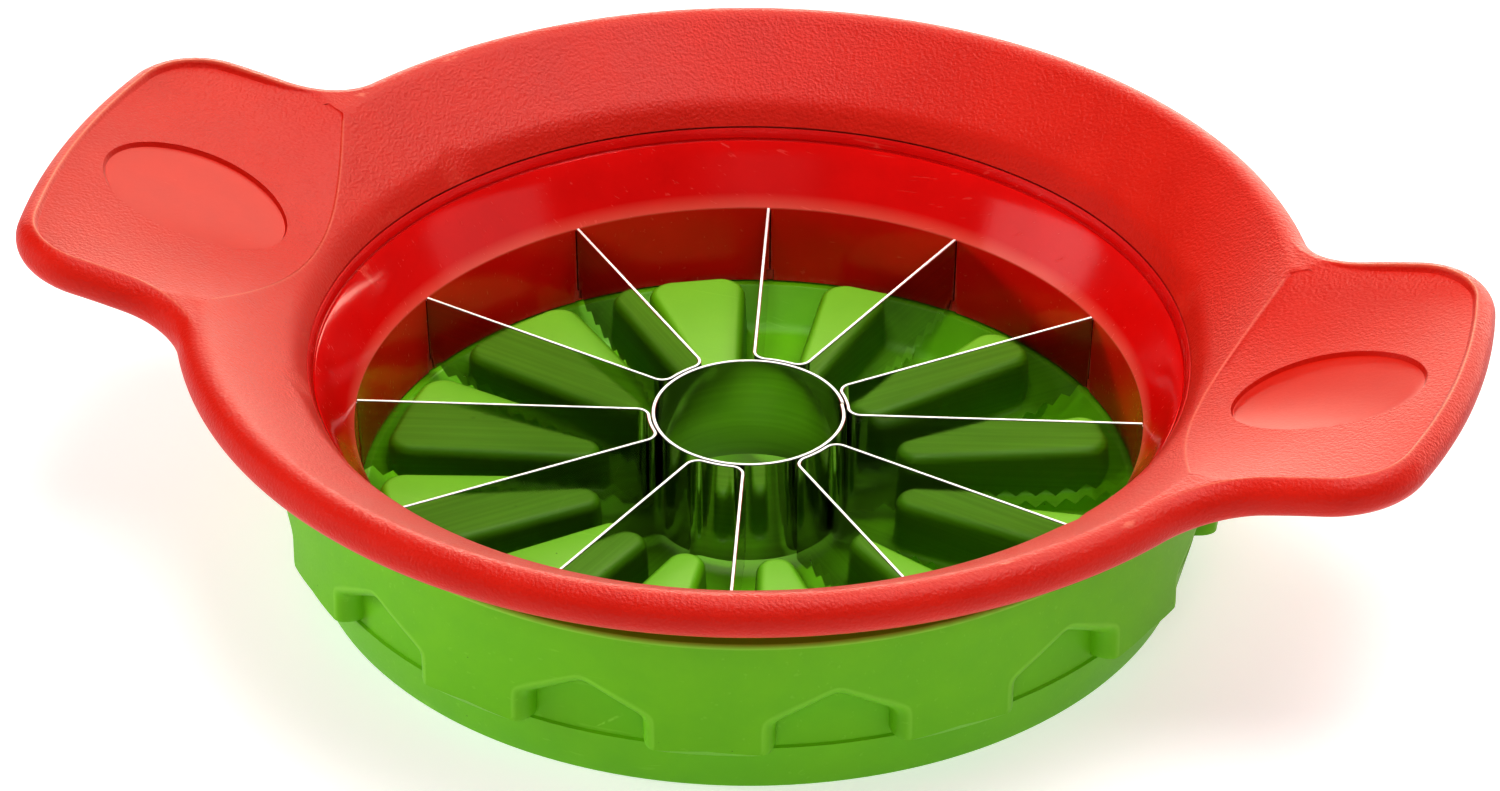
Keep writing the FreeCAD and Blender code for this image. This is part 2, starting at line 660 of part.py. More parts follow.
def notch_section(radius, spread):
    """House-shaped outline in an upright plane across +X, widened by a spread."""
    half = NOTCH_HALF_WIDTH - NOTCH_FLARE + spread
    eaves = FOOT_TOP + NOTCH_EAVES - NOTCH_FLARE / 2 + spread / 2
    apex = FOOT_TOP + NOTCH_APEX - NOTCH_FLARE + spread
    return rounded_wire([
        (Vector(radius, -half, 0), 0),
        (Vector(radius, -half, eaves), NOTCH_ROUND),
        (Vector(radius, 0, apex), NOTCH_ROUND),
        (Vector(radius, half, eaves), NOTCH_ROUND),
        (Vector(radius, half, 0), 0),
    ])


def notch_tool():
    """Cutter for one notch: it leaves the band level with the foot's top."""
    floor = CUP_RADIUS - BAND_STEP
    past = CUP_RADIUS + BAND_STEP
    inner = notch_section(floor - BAND_STEP, -NOTCH_FLARE)
    outer = notch_section(past, 2 * NOTCH_FLARE)
    block = Part.makeLoft([inner, outer], True, True)
    keep = Part.makeCylinder(floor, CUP_HEIGHT).fuse(Part.makeCylinder(PAST, FOOT_TOP))
    return block.cut(keep)


def base_cup():
    """Base with its lugs, hollow from below, and its notched band."""
    solid = cup_body().fuse(ring_of(lug(), WEDGES, CUP_TURN))
    core = drafted(LUG_WALL, 0, LUG_TOP - LUG_WALL)
    solid = solid.cut(ring_of(core, WEDGES, CUP_TURN))
    return solid.cut(ring_of(notch_tool(), NOTCHES, CUP_TURN)).removeSplitter()


# ---------------------------------------------------------------- output
def pieces():
    """Every rigid piece by name."""
    made = {
        "base_cup": base_cup(),
        "handle_frame": handle_frame(),
        "blade_carrier": blade_carrier(),
        "clamp_ring": clamp_ring(),
        "core_ring": core_ring(),
    }
    for index in range(WEDGES // 2):
        made["blade_strip_%d" % (index + 1)] = blade_strip(STEP + index * 2 * STEP)
    return made


def main():
    os.makedirs("parts", exist_ok=True)
    for name, shape in pieces().items():
        box = shape.BoundBox
        print("%-14s valid %s solids %d volume %.0f  x %.1f..%.1f y %.1f..%.1f z %.1f..%.1f" % (
            name, shape.isValid(), len(shape.Solids), shape.Volume,
            box.XMin, box.XMax, box.YMin, box.YMax, box.ZMin, box.ZMax))
        shape.exportStep("parts/%s.step" % name)


if __name__ == "__main__":
    main()
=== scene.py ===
"""Looks of a twelve-wedge apple slicer: red moulded slicer with steel blades on a green base cup.

Sizes and places are in millimetres and turns in degrees inside the classes, with metres on every mesh.  The cutting
axis is Z, the handles lie along X and the base cup stands on Z = 0.  Three attributes steer the finishes: polish is
how smooth the mould or how freshly ground the steel is, and on steel it also paints a pale highlight on the edges;
the second paints highlight, a pale tone put on edges, creases, lips and tops where light catches them; and run is the
place along a strip's own grain.
"""

import logging
import math
from dataclasses import dataclass
from enum import Enum
from typing import Callable, Sequence

import bmesh
import bpy
import numpy as np
from mathutils import Matrix, Vector
from mathutils.geometry import delaunay_2d_cdt


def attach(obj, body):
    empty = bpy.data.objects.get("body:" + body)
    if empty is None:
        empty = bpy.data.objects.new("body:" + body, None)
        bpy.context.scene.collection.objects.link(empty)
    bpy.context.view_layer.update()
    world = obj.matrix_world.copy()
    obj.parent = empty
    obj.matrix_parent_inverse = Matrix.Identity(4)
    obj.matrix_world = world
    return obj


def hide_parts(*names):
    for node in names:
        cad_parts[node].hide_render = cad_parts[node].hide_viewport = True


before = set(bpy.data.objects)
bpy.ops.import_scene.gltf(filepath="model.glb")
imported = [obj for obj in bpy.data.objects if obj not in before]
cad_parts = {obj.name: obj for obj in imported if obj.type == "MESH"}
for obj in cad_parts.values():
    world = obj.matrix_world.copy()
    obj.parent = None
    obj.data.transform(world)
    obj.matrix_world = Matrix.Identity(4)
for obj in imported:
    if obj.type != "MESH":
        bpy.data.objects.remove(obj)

LOG = logging.getLogger("apple_slicer")
MM = 0.001
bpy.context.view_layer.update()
Triple = tuple[float, float, float]
Colour = Triple
Socket = bpy.types.NodeSocket


class Body(Enum):
    """Rigid bodies that the pieces ride on."""

    BASE = "base"
    SLICER = "slicer"


class Slot(Enum):
    """Material slots of the object."""

    RED_TEXTURED = "red_textured"
    RED_GLOSS = "red_gloss"
    GREEN_PLASTIC = "green_plastic"
    BLADE_STEEL = "blade_steel"


# ---------------------------------------------------------------- shared sizes
@dataclass(frozen=True)
class CuttingHead:
    """Sizes that the slicer's pieces share, with the line of cone, bowl and handles."""

    wedges: int = 12
    cut_radius: float = 52.5
    blade_top: float = 19.2
    slicer_foot: float = 7.6
    clamp_top: float = 9.2
    wall_thickness: float = 2.0
    wall_draft: float = 0.5
    cone_angle: float = 58.0
    cone_thickness: float = 1.25
    gloss_radius: float = 57.42
    gloss_groove: float = 0.45
    parting_radius: float = 58.44
    parting_gap: float = 0.2
    knee_radius: float = 60.3
    knee_round: float = 6.0
    rim_radius: float = 72.77
    rim_height: float = 36.5
    roll: float = 2.8
    reach: float = 97.8
    tilt: float = 11.4
    bow: float = 9.3
    play: float = 0.1

    @property
    def wall_outer(self) -> float:
        """Outside radius of the wall."""
        return self.cut_radius + self.wall_thickness

    @property
    def cone_slope(self) -> float:
        """Rise of the cone over its run."""
        return math.tan(math.radians(self.cone_angle))

    def cone_height(self, radius: float | np.ndarray) -> float | np.ndarray:
        """Height of the cone's inner surface at a radius."""
        return self.blade_top + (radius - self.cut_radius) * self.cone_slope

    def behind_cone(self, radius: float, distance: float) -> tuple[float, float]:
        """Point behind the cone.

        Args:
            radius: radius of the point in front, on the inner surface.
            distance: how far behind it the point lies.

        Returns:
            Radius and height.
        """
        angle = math.radians(self.cone_angle)
        return radius + distance * math.sin(angle), self.cone_height(radius) - distance * math.cos(angle)

    @property
    def bowl_angle(self) -> float:
        """Angle of the upper bowl above horizontal, in radians."""
        run = self.rim_radius - self.knee_radius
        rise = self.rim_height - self.cone_height(self.knee_radius)
        return math.atan2(rise, run) + math.asin(self.roll / math.hypot(run, rise))

    @property
    def handle_arc(self) -> tuple[float, float, float]:
        """Centre radius, centre height and radius of the arc along a handle's mid line."""
        root = math.radians(self.tilt + self.bow / 2)
        tip = math.radians(self.tilt - self.bow / 2)
        run = (self.reach - self.roll - self.rim_radius) / (math.cos(root) + math.cos(tip))
        bend = run / math.tan(math.radians(self.bow / 2))
        return self.rim_radius + bend * math.sin(root), self.rim_height - bend * math.cos(root), bend

    def mid_height(self, radius: np.ndarray) -> np.ndarray:
        """Height of the rolled edge's centre line.

        Args:
            radius: distances from the axis.

        Returns:
            Heights, level on the rim and rising along the handles.
        """
        across, up, bend = self.handle_arc
        rise = up + np.sqrt(np.maximum(bend**2 - (radius - across) ** 2, 0.0))
        return np.where(radius > self.rim_radius, rise, self.rim_height)

    def top_height(self, radius: np.ndarray) -> np.ndarray:
        """Height of cone, knee, bowl and crest before the handles are scooped.

        Args:
            radius: distances from the axis.

        Returns:
            Heights of the upper surface.
        """
        cone, bowl = math.radians(self.cone_angle), self.bowl_angle
        knee_z = self.cone_height(self.knee_radius)
        run = self.knee_round * math.tan((cone - bowl) / 2)
        start, end = self.knee_radius - run * math.cos(cone), self.knee_radius + run * math.cos(bowl)
        centre_r = start + self.knee_round * math.sin(cone)
        centre_z = knee_z - run * math.sin(cone) - self.knee_round * math.cos(cone)
        knee = centre_z + np.sqrt(np.maximum(self.knee_round**2 - (radius - centre_r) ** 2, 0.0))
        line = knee_z + (radius - self.knee_radius) * math.tan(bowl)
        crest = self.rim_height + np.sqrt(np.maximum(self.roll**2 - (radius - self.rim_radius) ** 2, 0.0))
        height = np.where(radius > start, knee, self.cone_height(radius))
        height = np.where(radius > end, line, height)
        height = np.where(radius > self.rim_radius - self.roll * math.sin(bowl), crest, height)
        return np.where(radius > self.rim_radius, self.mid_height(radius) + self.roll, height)


HEAD = CuttingHead()


# ---------------------------------------------------------------- mesh work
class Shell:
    """Gathers patches in millimetres and joins them into one closed mesh in metres."""

    def __init__(self) -> None:
        """Starts empty."""
        self.points: list[np.ndarray] = []
        self.polish: list[np.ndarray] = []
        self.worn: list[np.ndarray] = []
        self.run: list[np.ndarray] = []
        self.faces: list[tuple[int, ...]] = []
        self.count = 0

    def add_points(self, points: np.ndarray, polish: np.ndarray | float = 0.0,
                   run: np.ndarray | None = None, worn: np.ndarray | float = 0.0) -> int:
        """Adds points.

        Args:
            points: N by 3 places in millimetres.
            polish: how polished the mould is there, from 0 to 1.
            run: N by 3 places along the piece's own grain.
            worn: painted highlight there, from 0 to 1, the pale tone put where light catches the surface.

        Returns:
            Number of the first point.
        """
        first = self.count
        self.points.append(points)
        self.polish.append(np.broadcast_to(np.asarray(polish, float).reshape(-1), (len(points),)))
        self.worn.append(np.broadcast_to(np.asarray(worn, float).reshape(-1), (len(points),)))
        self.run.append(np.zeros((len(points), 3)) if run is None else run)
        self.count += len(points)
        return first

    def add_grid(self, grid: np.ndarray, around: bool = False, closed: bool = False,
                 polish: np.ndarray | float = 0.0, run: np.ndarray | None = None,
                 skip: np.ndarray | None = None, worn: np.ndarray | float = 0.0) -> None:
        """Adds a grid of quads.

        Args:
            grid: rows by columns by 3 places.
            around: the last column joins the first.
            closed: the last row joins the first.
            polish: polish of each point or of all.
            run: grain places, shaped as the grid.
            skip: rows by columns flags of quads that are left out.
            worn: painted highlight of each point or of all.
        """
        rows, columns = grid.shape[:2]
        flat_run = None if run is None else run.reshape(-1, 3)
        first = self.add_points(grid.reshape(-1, 3), polish, flat_run, worn)
        for row in range(rows if closed else rows - 1):
            ahead = (row + 1) % rows
            for column in range(columns if around else columns - 1):
                if skip is not None and skip[row, column]:
                    continue
                beside = (column + 1) % columns
                self.faces.append((first + row * columns + column, first + row * columns + beside,
                                   first + ahead * columns + beside, first + ahead * columns + column))

    def add_loop_face(self, loop: np.ndarray, worn: float = 0.0) -> None:
        """Closes a flat loop with one face."""
        first = self.add_points(loop, worn=worn)
        self.faces.append(tuple(range(first, first + len(loop))))

    def add_triangles(self, points: np.ndarray, triangles: Sequence[Sequence[int]],
                      polish: np.ndarray | float = 0.0, worn: np.ndarray | float = 0.0) -> None:
        """Adds triangles over points of their own."""
        first = self.add_points(points, polish, worn=worn)
        self.faces.extend(tuple(first + index for index in face) for face in triangles)

    def mesh(self, name: str, weld: float = 0.002, sharp: float = 32.0) -> bpy.types.Mesh:
        """Makes the mesh.

        Args:
            name: name of the mesh.
            weld: points nearer than this many millimetres become one.
            sharp: edges that turn by more degrees than this stay crisp.

        Returns:
            Smooth-shaded mesh with faces outward.
        """
        mesh = bpy.data.meshes.new(name)
        mesh.from_pydata(np.concatenate(self.points) * MM, [], self.faces)
        # The second attribute holds painted highlight: how much pale tone is painted where light catches an edge or
        # top.
        for label, values in (("polish", self.polish), ("worn", self.worn)):
            attribute = mesh.attributes.new(label, "FLOAT", "POINT")
            attribute.data.foreach_set("value", np.concatenate(values).astype(np.float32))
        run = mesh.attributes.new("run", "FLOAT_VECTOR", "POINT")
        run.data.foreach_set("vector", (np.concatenate(self.run) * MM).astype(np.float32).reshape(-1))
        tidy_mesh(mesh, weld * MM, sharp)
        return mesh


def tidy_mesh(mesh: bpy.types.Mesh, weld: float, sharp: float, outward: bool = True) -> None:
    """Welds a mesh, turns its faces outward and sets its shading.

    Args:
        mesh: mesh in metres.
        weld: points nearer than this, in metres, become one.
        sharp: edges that turn by more degrees than this stay crisp.
        outward: whether the normals are worked out afresh.
    """
    work = bmesh.new()
    work.from_mesh(mesh)
    bmesh.ops.remove_doubles(work, verts=work.verts, dist=weld)
    bmesh.ops.dissolve_degenerate(work, edges=work.edges, dist=weld / 10)
    if outward:
        bmesh.ops.recalc_face_normals(work, faces=work.faces)
    work.to_mesh(mesh)
    work.free()
    mesh.polygons.foreach_set("use_smooth", [True] * len(mesh.polygons))
    mesh.set_sharp_from_angle(angle=math.radians(sharp))
    mesh.update()


def spoke(angle: float) -> np.ndarray:
    """Unit vector of the plan at an angle in radians."""
    return np.array([math.cos(angle), math.sin(angle)])


def spokes(angles: np.ndarray) -> np.ndarray:
    """Unit vectors of the plan at angles in radians."""
    return np.stack([np.cos(angles), np.sin(angles)], axis=-1)


def raised(plan: np.ndarray, height: float | np.ndarray) -> np.ndarray:
    """Plan points at a height each, or all at one."""
    return np.column_stack([plan, np.broadcast_to(height, len(plan))])


def ring(points: np.ndarray | Sequence[tuple[float, float]], angles: np.ndarray) -> np.ndarray:
    """Turns profile points about Z.

    Args:
        points: radius and height of each profile point.
        angles: directions in radians.

    Returns:
        Grid with one row for each profile point.
    """
    radii, heights = np.array(points).T[:, :, None]
    return np.stack([radii * np.cos(angles), radii * np.sin(angles), heights + 0 * angles], axis=-1)


def rounded(corners: Sequence[tuple[float, float, float]], steps: int = 6,
            spacing: float = 1e9, closed: bool = True) -> np.ndarray:
    """Rounds the corners of a plane line.

    Args:
        corners: place and rounding radius of each corner.
        steps: arc pieces at each rounded corner.
        spacing: longest straight piece between two points.
        closed: whether the last corner joins the first.

    Returns:
        N by 2 points.
    """
    count = len(corners)
    spans: list[np.ndarray] = []
    for index, (x, y, radius) in enumerate(corners):
        point = np.array([x, y])
        inner = closed or 0 < index < count - 1
        if radius <= 0 or not inner:
            spans.append(point[None])
            continue
        back = np.array(corners[index - 1][:2]) - point
        ahead = np.array(corners[(index + 1) % count][:2]) - point
        back, ahead = back / np.linalg.norm(back), ahead / np.linalg.norm(ahead)
        half = math.acos(np.clip(back @ ahead, -1, 1)) / 2
        centre = point + (back + ahead) / np.linalg.norm(back + ahead) * radius / math.sin(half)
        start = point + back * radius / math.tan(half) - centre
        end = point + ahead * radius / math.tan(half) - centre
        turn = math.pi - 2 * half
        share = np.linspace(0, 1, steps + 1)[:, None]
        spans.append(centre + (start * np.sin((1 - share) * turn) + end * np.sin(share * turn)) / math.sin(turn))
    line = [spans[0]]
    for span in spans[1:] + (spans[:1] if closed else []):
        gap = np.linalg.norm(span[0] - line[-1][-1])
        pieces = max(1, math.ceil(gap / spacing))
        share = np.linspace(0, 1, pieces + 1)[1:-1, None]
        line.append(line[-1][-1] + (span[0] - line[-1][-1]) * share)
        line.append(span)
    if closed:
        line.pop()
    return np.concatenate(line)


def inside(points: np.ndarray, loop: np.ndarray) -> np.ndarray:
    """Tells which plane points lie inside a closed loop."""
    result = np.zeros(len(points), bool)
    for start, end in zip(loop, np.roll(loop, -1, axis=0)):
        if start[1] == end[1]:
            continue
        crosses = (start[1] > points[:, 1]) != (end[1] > points[:, 1])
        reach = (end[0] - start[0]) * (points[:, 1] - start[1]) / (end[1] - start[1]) + start[0]
        result ^= crosses & (points[:, 0] < reach)
    return result


def fill(outer: np.ndarray, holes: Sequence[np.ndarray], lines: Sequence[np.ndarray] = (),
         loose: np.ndarray | None = None) -> tuple[np.ndarray, np.ndarray]:
    """Triangulates a plane region.

    Args:
        outer: closed outer loop.
        holes: closed loops that are left open.
        lines: closed loops that the triangles follow.
        loose: further points.

    Returns:
        N by 2 points and M by 3 triangles.
    """
    points: list[np.ndarray] = []
    edges: list[tuple[int, int]] = []
    first = 0
    for loop in [outer, *holes, *lines]:
        edges += [(first + index, first + (index + 1) % len(loop)) for index in range(len(loop))]
        points.append(loop)
        first += len(loop)
    if loose is not None:
        points.append(loose)
    places = [Vector(point) for point in np.concatenate(points)]
    result = delaunay_2d_cdt(places, edges, [], 0, 1e-5)
    plane = np.array([tuple(place) for place in result[0]])
    triangles = np.array([tuple(face) for face in result[2]])
    centres = plane[triangles].mean(axis=1)
    keep = inside(centres, outer)
    for hole in holes:
        keep &= ~inside(centres, hole)
    return plane, triangles[keep]


def smooth_step(value: np.ndarray, low: float, high: float) -> np.ndarray:
    """Share from 0 to 1 as a value goes from low to high, with soft ends."""
    share = np.clip((value - low) / (high - low), 0.0, 1.0)
    return share * share * (3 - 2 * share)


def soft_positive(value: np.ndarray, softness: float) -> np.ndarray:
    """Value where it is above zero and zero below, rounded over the softness."""
    return softness * np.logaddexp(0.0, value / softness)


def bisect(holds: Callable[[np.ndarray], np.ndarray], low: np.ndarray, high: np.ndarray,
           rounds: int) -> np.ndarray:
    """Halves spans again and again to find where a test stops holding.

    Args:
        holds: test that is true at the low ends.
        low: low ends of the spans.
        high: high ends.
        rounds: number of halvings.

    Returns:
        Highest places known to pass.
    """
    for _ in range(rounds):
        middle = (low + high) / 2
        passed = holds(middle)
        low, high = np.where(passed, middle, low), np.where(passed, high, middle)
    return low


def new_piece(name: str, mesh: bpy.types.Mesh, material: bpy.types.Material | None) -> bpy.types.Object:
    """Puts a mesh in the scene.

    Args:
        name: name of the piece.
        mesh: its mesh, in place.
        material: its finish.

    Returns:
        The new object, at the origin.
    """
    piece = bpy.data.objects.new(name, mesh)
    bpy.context.scene.collection.objects.link(piece)
    if material is not None:
        mesh.materials.clear()
        mesh.materials.append(material)
    return piece


def settle(piece: bpy.types.Object, body: Body, slot: Slot, *nodes: str) -> None:
    """Lets a piece ride on its body in place of its nodes, and reports it.

    Args:
        piece: finished piece.
        body: body that carries it.
        slot: material slot of its finish; not used.
        nodes: nodes that it stands for.
    """
    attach(piece, body.value)
    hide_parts(*nodes)
    triangles = sum(len(face.vertices) - 2 for face in piece.data.polygons)
    LOG.info("%s: %d triangles, for %s", piece.name, triangles, ", ".join(nodes))


# ---------------------------------------------------------------- node trees
class Bench:
    """Adds and joins the nodes of one tree."""

    def __init__(self, tree: bpy.types.NodeTree) -> None:
        """Takes the tree that it works on."""
        self.tree = tree

    def add(self, kind: str, inputs: dict | None = None, **settings: object) -> bpy.types.Node:
        """Adds a node.

        Args:
            kind: node type.
            inputs: a value or an output socket for each named or numbered input.
            settings: properties of the node.

        Returns:
            The node.
        """
        node = self.tree.nodes.new(kind)
        for key, value in settings.items():
            setattr(node, key, value)
        for key, value in (inputs or {}).items():
            if isinstance(value, Socket):
                self.tree.links.new(value, node.inputs[key])
            else:
                node.inputs[key].default_value = value
        return node

    def number(self, operation: str, first: object, second: object = 0.0) -> Socket:
        """Result of a number operation on sockets or values."""
        return self.add("ShaderNodeMath", {0: first, 1: second}, operation=operation).outputs[0]

    def times(self, first: object, second: object) -> Socket:
        """Product of two sockets or values."""
        return self.number("MULTIPLY", first, second)

    def less(self, first: object, second: object) -> Socket:
        """First socket or value less the second."""
        return self.number("SUBTRACT", first, second)

    def total(self, first: object, *others: object) -> Socket:
        """Total of sockets or values."""
        for other in others:
            first = self.number("ADD", first, other)
        return first

    def span(self, value: object, low: float, high: float, start: float = 0.0, end: float = 1.0) -> Socket:
        """Value moved from low..high to start..end and held there."""
        inputs = {"Value": value, "From Min": low, "From Max": high, "To Min": start, "To Max": end}
        return self.add("ShaderNodeMapRange", inputs).outputs[0]

    def between(self, share: object, first: object, second: object) -> Socket:
        """Number between two numbers."""
        return self.add("ShaderNodeMix", {0: share, 2: first, 3: second}).outputs[0]

    def mix(self, share: object, first: object, second: object) -> Socket:
        """Colour between two colours."""
        colours = [value if isinstance(value, Socket) else (*value, 1) for value in (first, second)]
        return self.add("ShaderNodeMix", {0: share, 6: colours[0], 7: colours[1]}, data_type="RGBA").outputs[2]

    def scaled(self, vector: object, scale: Triple) -> Socket:
        """Vector multiplied by a scale for each axis."""
        return self.add("ShaderNodeVectorMath", {0: vector, 1: scale}, operation="MULTIPLY").outputs[0]

    def in_mm(self, vector: object) -> Socket:
        """Vector in millimetres instead of metres."""
        return self.scaled(vector, (1 / MM, 1 / MM, 1 / MM))

    def noise(self, vector: object, scale: object, detail: float = 2.0, roughness: float = 0.5) -> Socket:
        """Noise value over a vector."""
        inputs = {"Vector": vector, "Scale": scale, "Detail": detail, "Roughness": roughness}
        return self.add("ShaderNodeTexNoise", inputs).outputs[0]

    def bump(self, height: object, strength: float, depth: float, normal: Socket | None = None) -> Socket:
        """Normal tilted by a height whose full depth is given in millimetres."""
        inputs = {"Height": height, "Strength": strength, "Distance": depth * MM}
        return self.add("ShaderNodeBump", inputs if normal is None else {**inputs, "Normal": normal}).outputs[0]

    def place(self) -> Socket:
        """Object coordinates in metres."""
        return self.add("ShaderNodeTexCoord").outputs["Object"]

    def attribute(self, name: str, output: str = "Fac") -> Socket:
        """Attribute of the mesh."""
        return self.add("ShaderNodeAttribute", attribute_name=name).outputs[output]

    def effect(self, tree: bpy.types.NodeTree, **inputs: object) -> bpy.types.NodeOutputs:
        """Outputs of a shared effect, placed with its own values."""
        named = {key.replace("_", " "): value for key, value in inputs.items()}
        return self.add("ShaderNodeGroup", named, node_tree=tree).outputs


class EffectGroup:
    """Shader node group that reads a place and some numbers."""

    def __init__(self, name: str, **numbers: float) -> None:
        """Starts the group.

        Args:
            name: name of the group.
            numbers: first value of each number input.
        """
        tree = bpy.data.node_groups.new(name, "ShaderNodeTree")
        tree.interface.new_socket("Place", in_out="INPUT", socket_type="NodeSocketVector")
        for label, value in numbers.items():
            socket = tree.interface.new_socket(label.replace("_", " "), in_out="INPUT", socket_type="NodeSocketFloat")
            socket.default_value = value
        self.bench = Bench(tree)
        self.given = self.bench.add("NodeGroupInput").outputs
        self.place = self.bench.in_mm(self.given["Place"])

    def finish(self, **results: Socket) -> bpy.types.NodeTree:
        """Gives the group its outputs and returns it."""
        for label in results:
            self.bench.tree.interface.new_socket(label, in_out="OUTPUT", socket_type="NodeSocketFloat")
        self.bench.add("NodeGroupOutput", results)
        return self.bench.tree


class Effects:
    """Surface effects that several finishes share, each one a node group."""

    def __init__(self) -> None:
        """Builds the groups."""
        self.grain = self.spark_grain()
        self.scratches = self.hairlines()
        self.film = self.smudges()
        self.wear_and_highlight = self.edge_wear()
        self.specks = self.fine_specks()

    @staticmethod
    def spark_grain() -> bpy.types.NodeTree:
        """Fine pitted grain of a spark-eroded mould, with its slow mottle."""
        group = EffectGroup("spark_grain", Grains_per_mm=3.0, Mottle_per_mm=0.12)
        bench, place, grains = group.bench, group.place, group.given["Grains per mm"]
        fine = bench.noise(place, grains, 3.0, 0.65)
        cells = {"Vector": place, "Scale": bench.times(grains, 0.9), "Randomness": 1.0}
        pits = bench.add("ShaderNodeTexVoronoi", cells).outputs[0]
        height = bench.total(bench.times(fine, 0.7), bench.times(pits, 0.3))
        return group.finish(Height=height, Mottle=bench.noise(place, group.given["Mottle per mm"], 4.0, 0.6))

    @staticmethod
    def hairlines() -> bpy.types.NodeTree:
        """Thin scratches in two directions."""
        group = EffectGroup("hairlines", Lines_per_mm=1.0, Rarity=0.66)
        bench, masks = group.bench, []
        for turn in (0.5, 2.1):
            turned = bench.add("ShaderNodeMapping", {"Vector": group.place, "Rotation": (0.3, 0.2, turn),
                                                     "Scale": (0.035, 2.2, 0.9)})
            streak = bench.noise(turned.outputs[0], group.given["Lines per mm"], 2.0, 0.6)
            masks.append(bench.span(bench.less(streak, group.given["Rarity"]), 0.0, 0.05))
        return group.finish(Mask=bench.number("MAXIMUM", *masks))

    @staticmethod
    def smudges() -> bpy.types.NodeTree:
        """Slow cloudy film left by handling."""
        group = EffectGroup("smudges", Clouds_per_mm=0.06)
        cloud = group.bench.noise(group.place, group.given["Clouds per mm"], 5.0, 0.55)
        return group.finish(Value=group.bench.span(cloud, 0.3, 0.7))

    @staticmethod
    def edge_wear() -> bpy.types.NodeTree:
        """Mask of the outer edges, broken up by noise."""
        # Convex-edge mask, used both as edge wear and as painted highlight on edges that catch the light.
        group = EffectGroup("edge_wear", Start=0.54, Full=0.62)
        bench, start = group.bench, group.given["Start"]
        edge = bench.add("ShaderNodeNewGeometry").outputs["Pointiness"]
        share = bench.number("DIVIDE", bench.less(edge, start), bench.less(group.given["Full"], start))
        broken = bench.span(bench.noise(group.place, 0.8, 4.0, 0.6), 0.35, 0.6)
        mask = bench.add("ShaderNodeMath", {0: share, 1: broken}, operation="MULTIPLY", use_clamp=True)
        return group.finish(Mask=mask.outputs[0])

    @staticmethod
    def fine_specks() -> bpy.types.NodeTree:
        """Sparse dust specks of mixed size."""
        group = EffectGroup("fine_specks", Cells_per_mm=0.45, Size=0.06)
        bench = group.bench
        cells = bench.add("ShaderNodeTexVoronoi", {"Vector": group.place, "Scale": group.given["Cells per mm"]})
        chance = bench.add("ShaderNodeSeparateColor", {0: cells.outputs["Color"]}).outputs[0]
        size = bench.times(bench.span(chance, 0.6, 1.0), group.given["Size"])
        return group.finish(Mask=bench.span(bench.less(size, cells.outputs["Distance"]), 0.0, 0.012))


def blank_material(name: str) -> tuple[bpy.types.Material, Bench]:
    """New material with an empty tree, and the bench that works on it."""
    material = bpy.data.materials.new(name)
    material.use_nodes = True
    material.node_tree.nodes.clear()
    return material, Bench(material.node_tree)


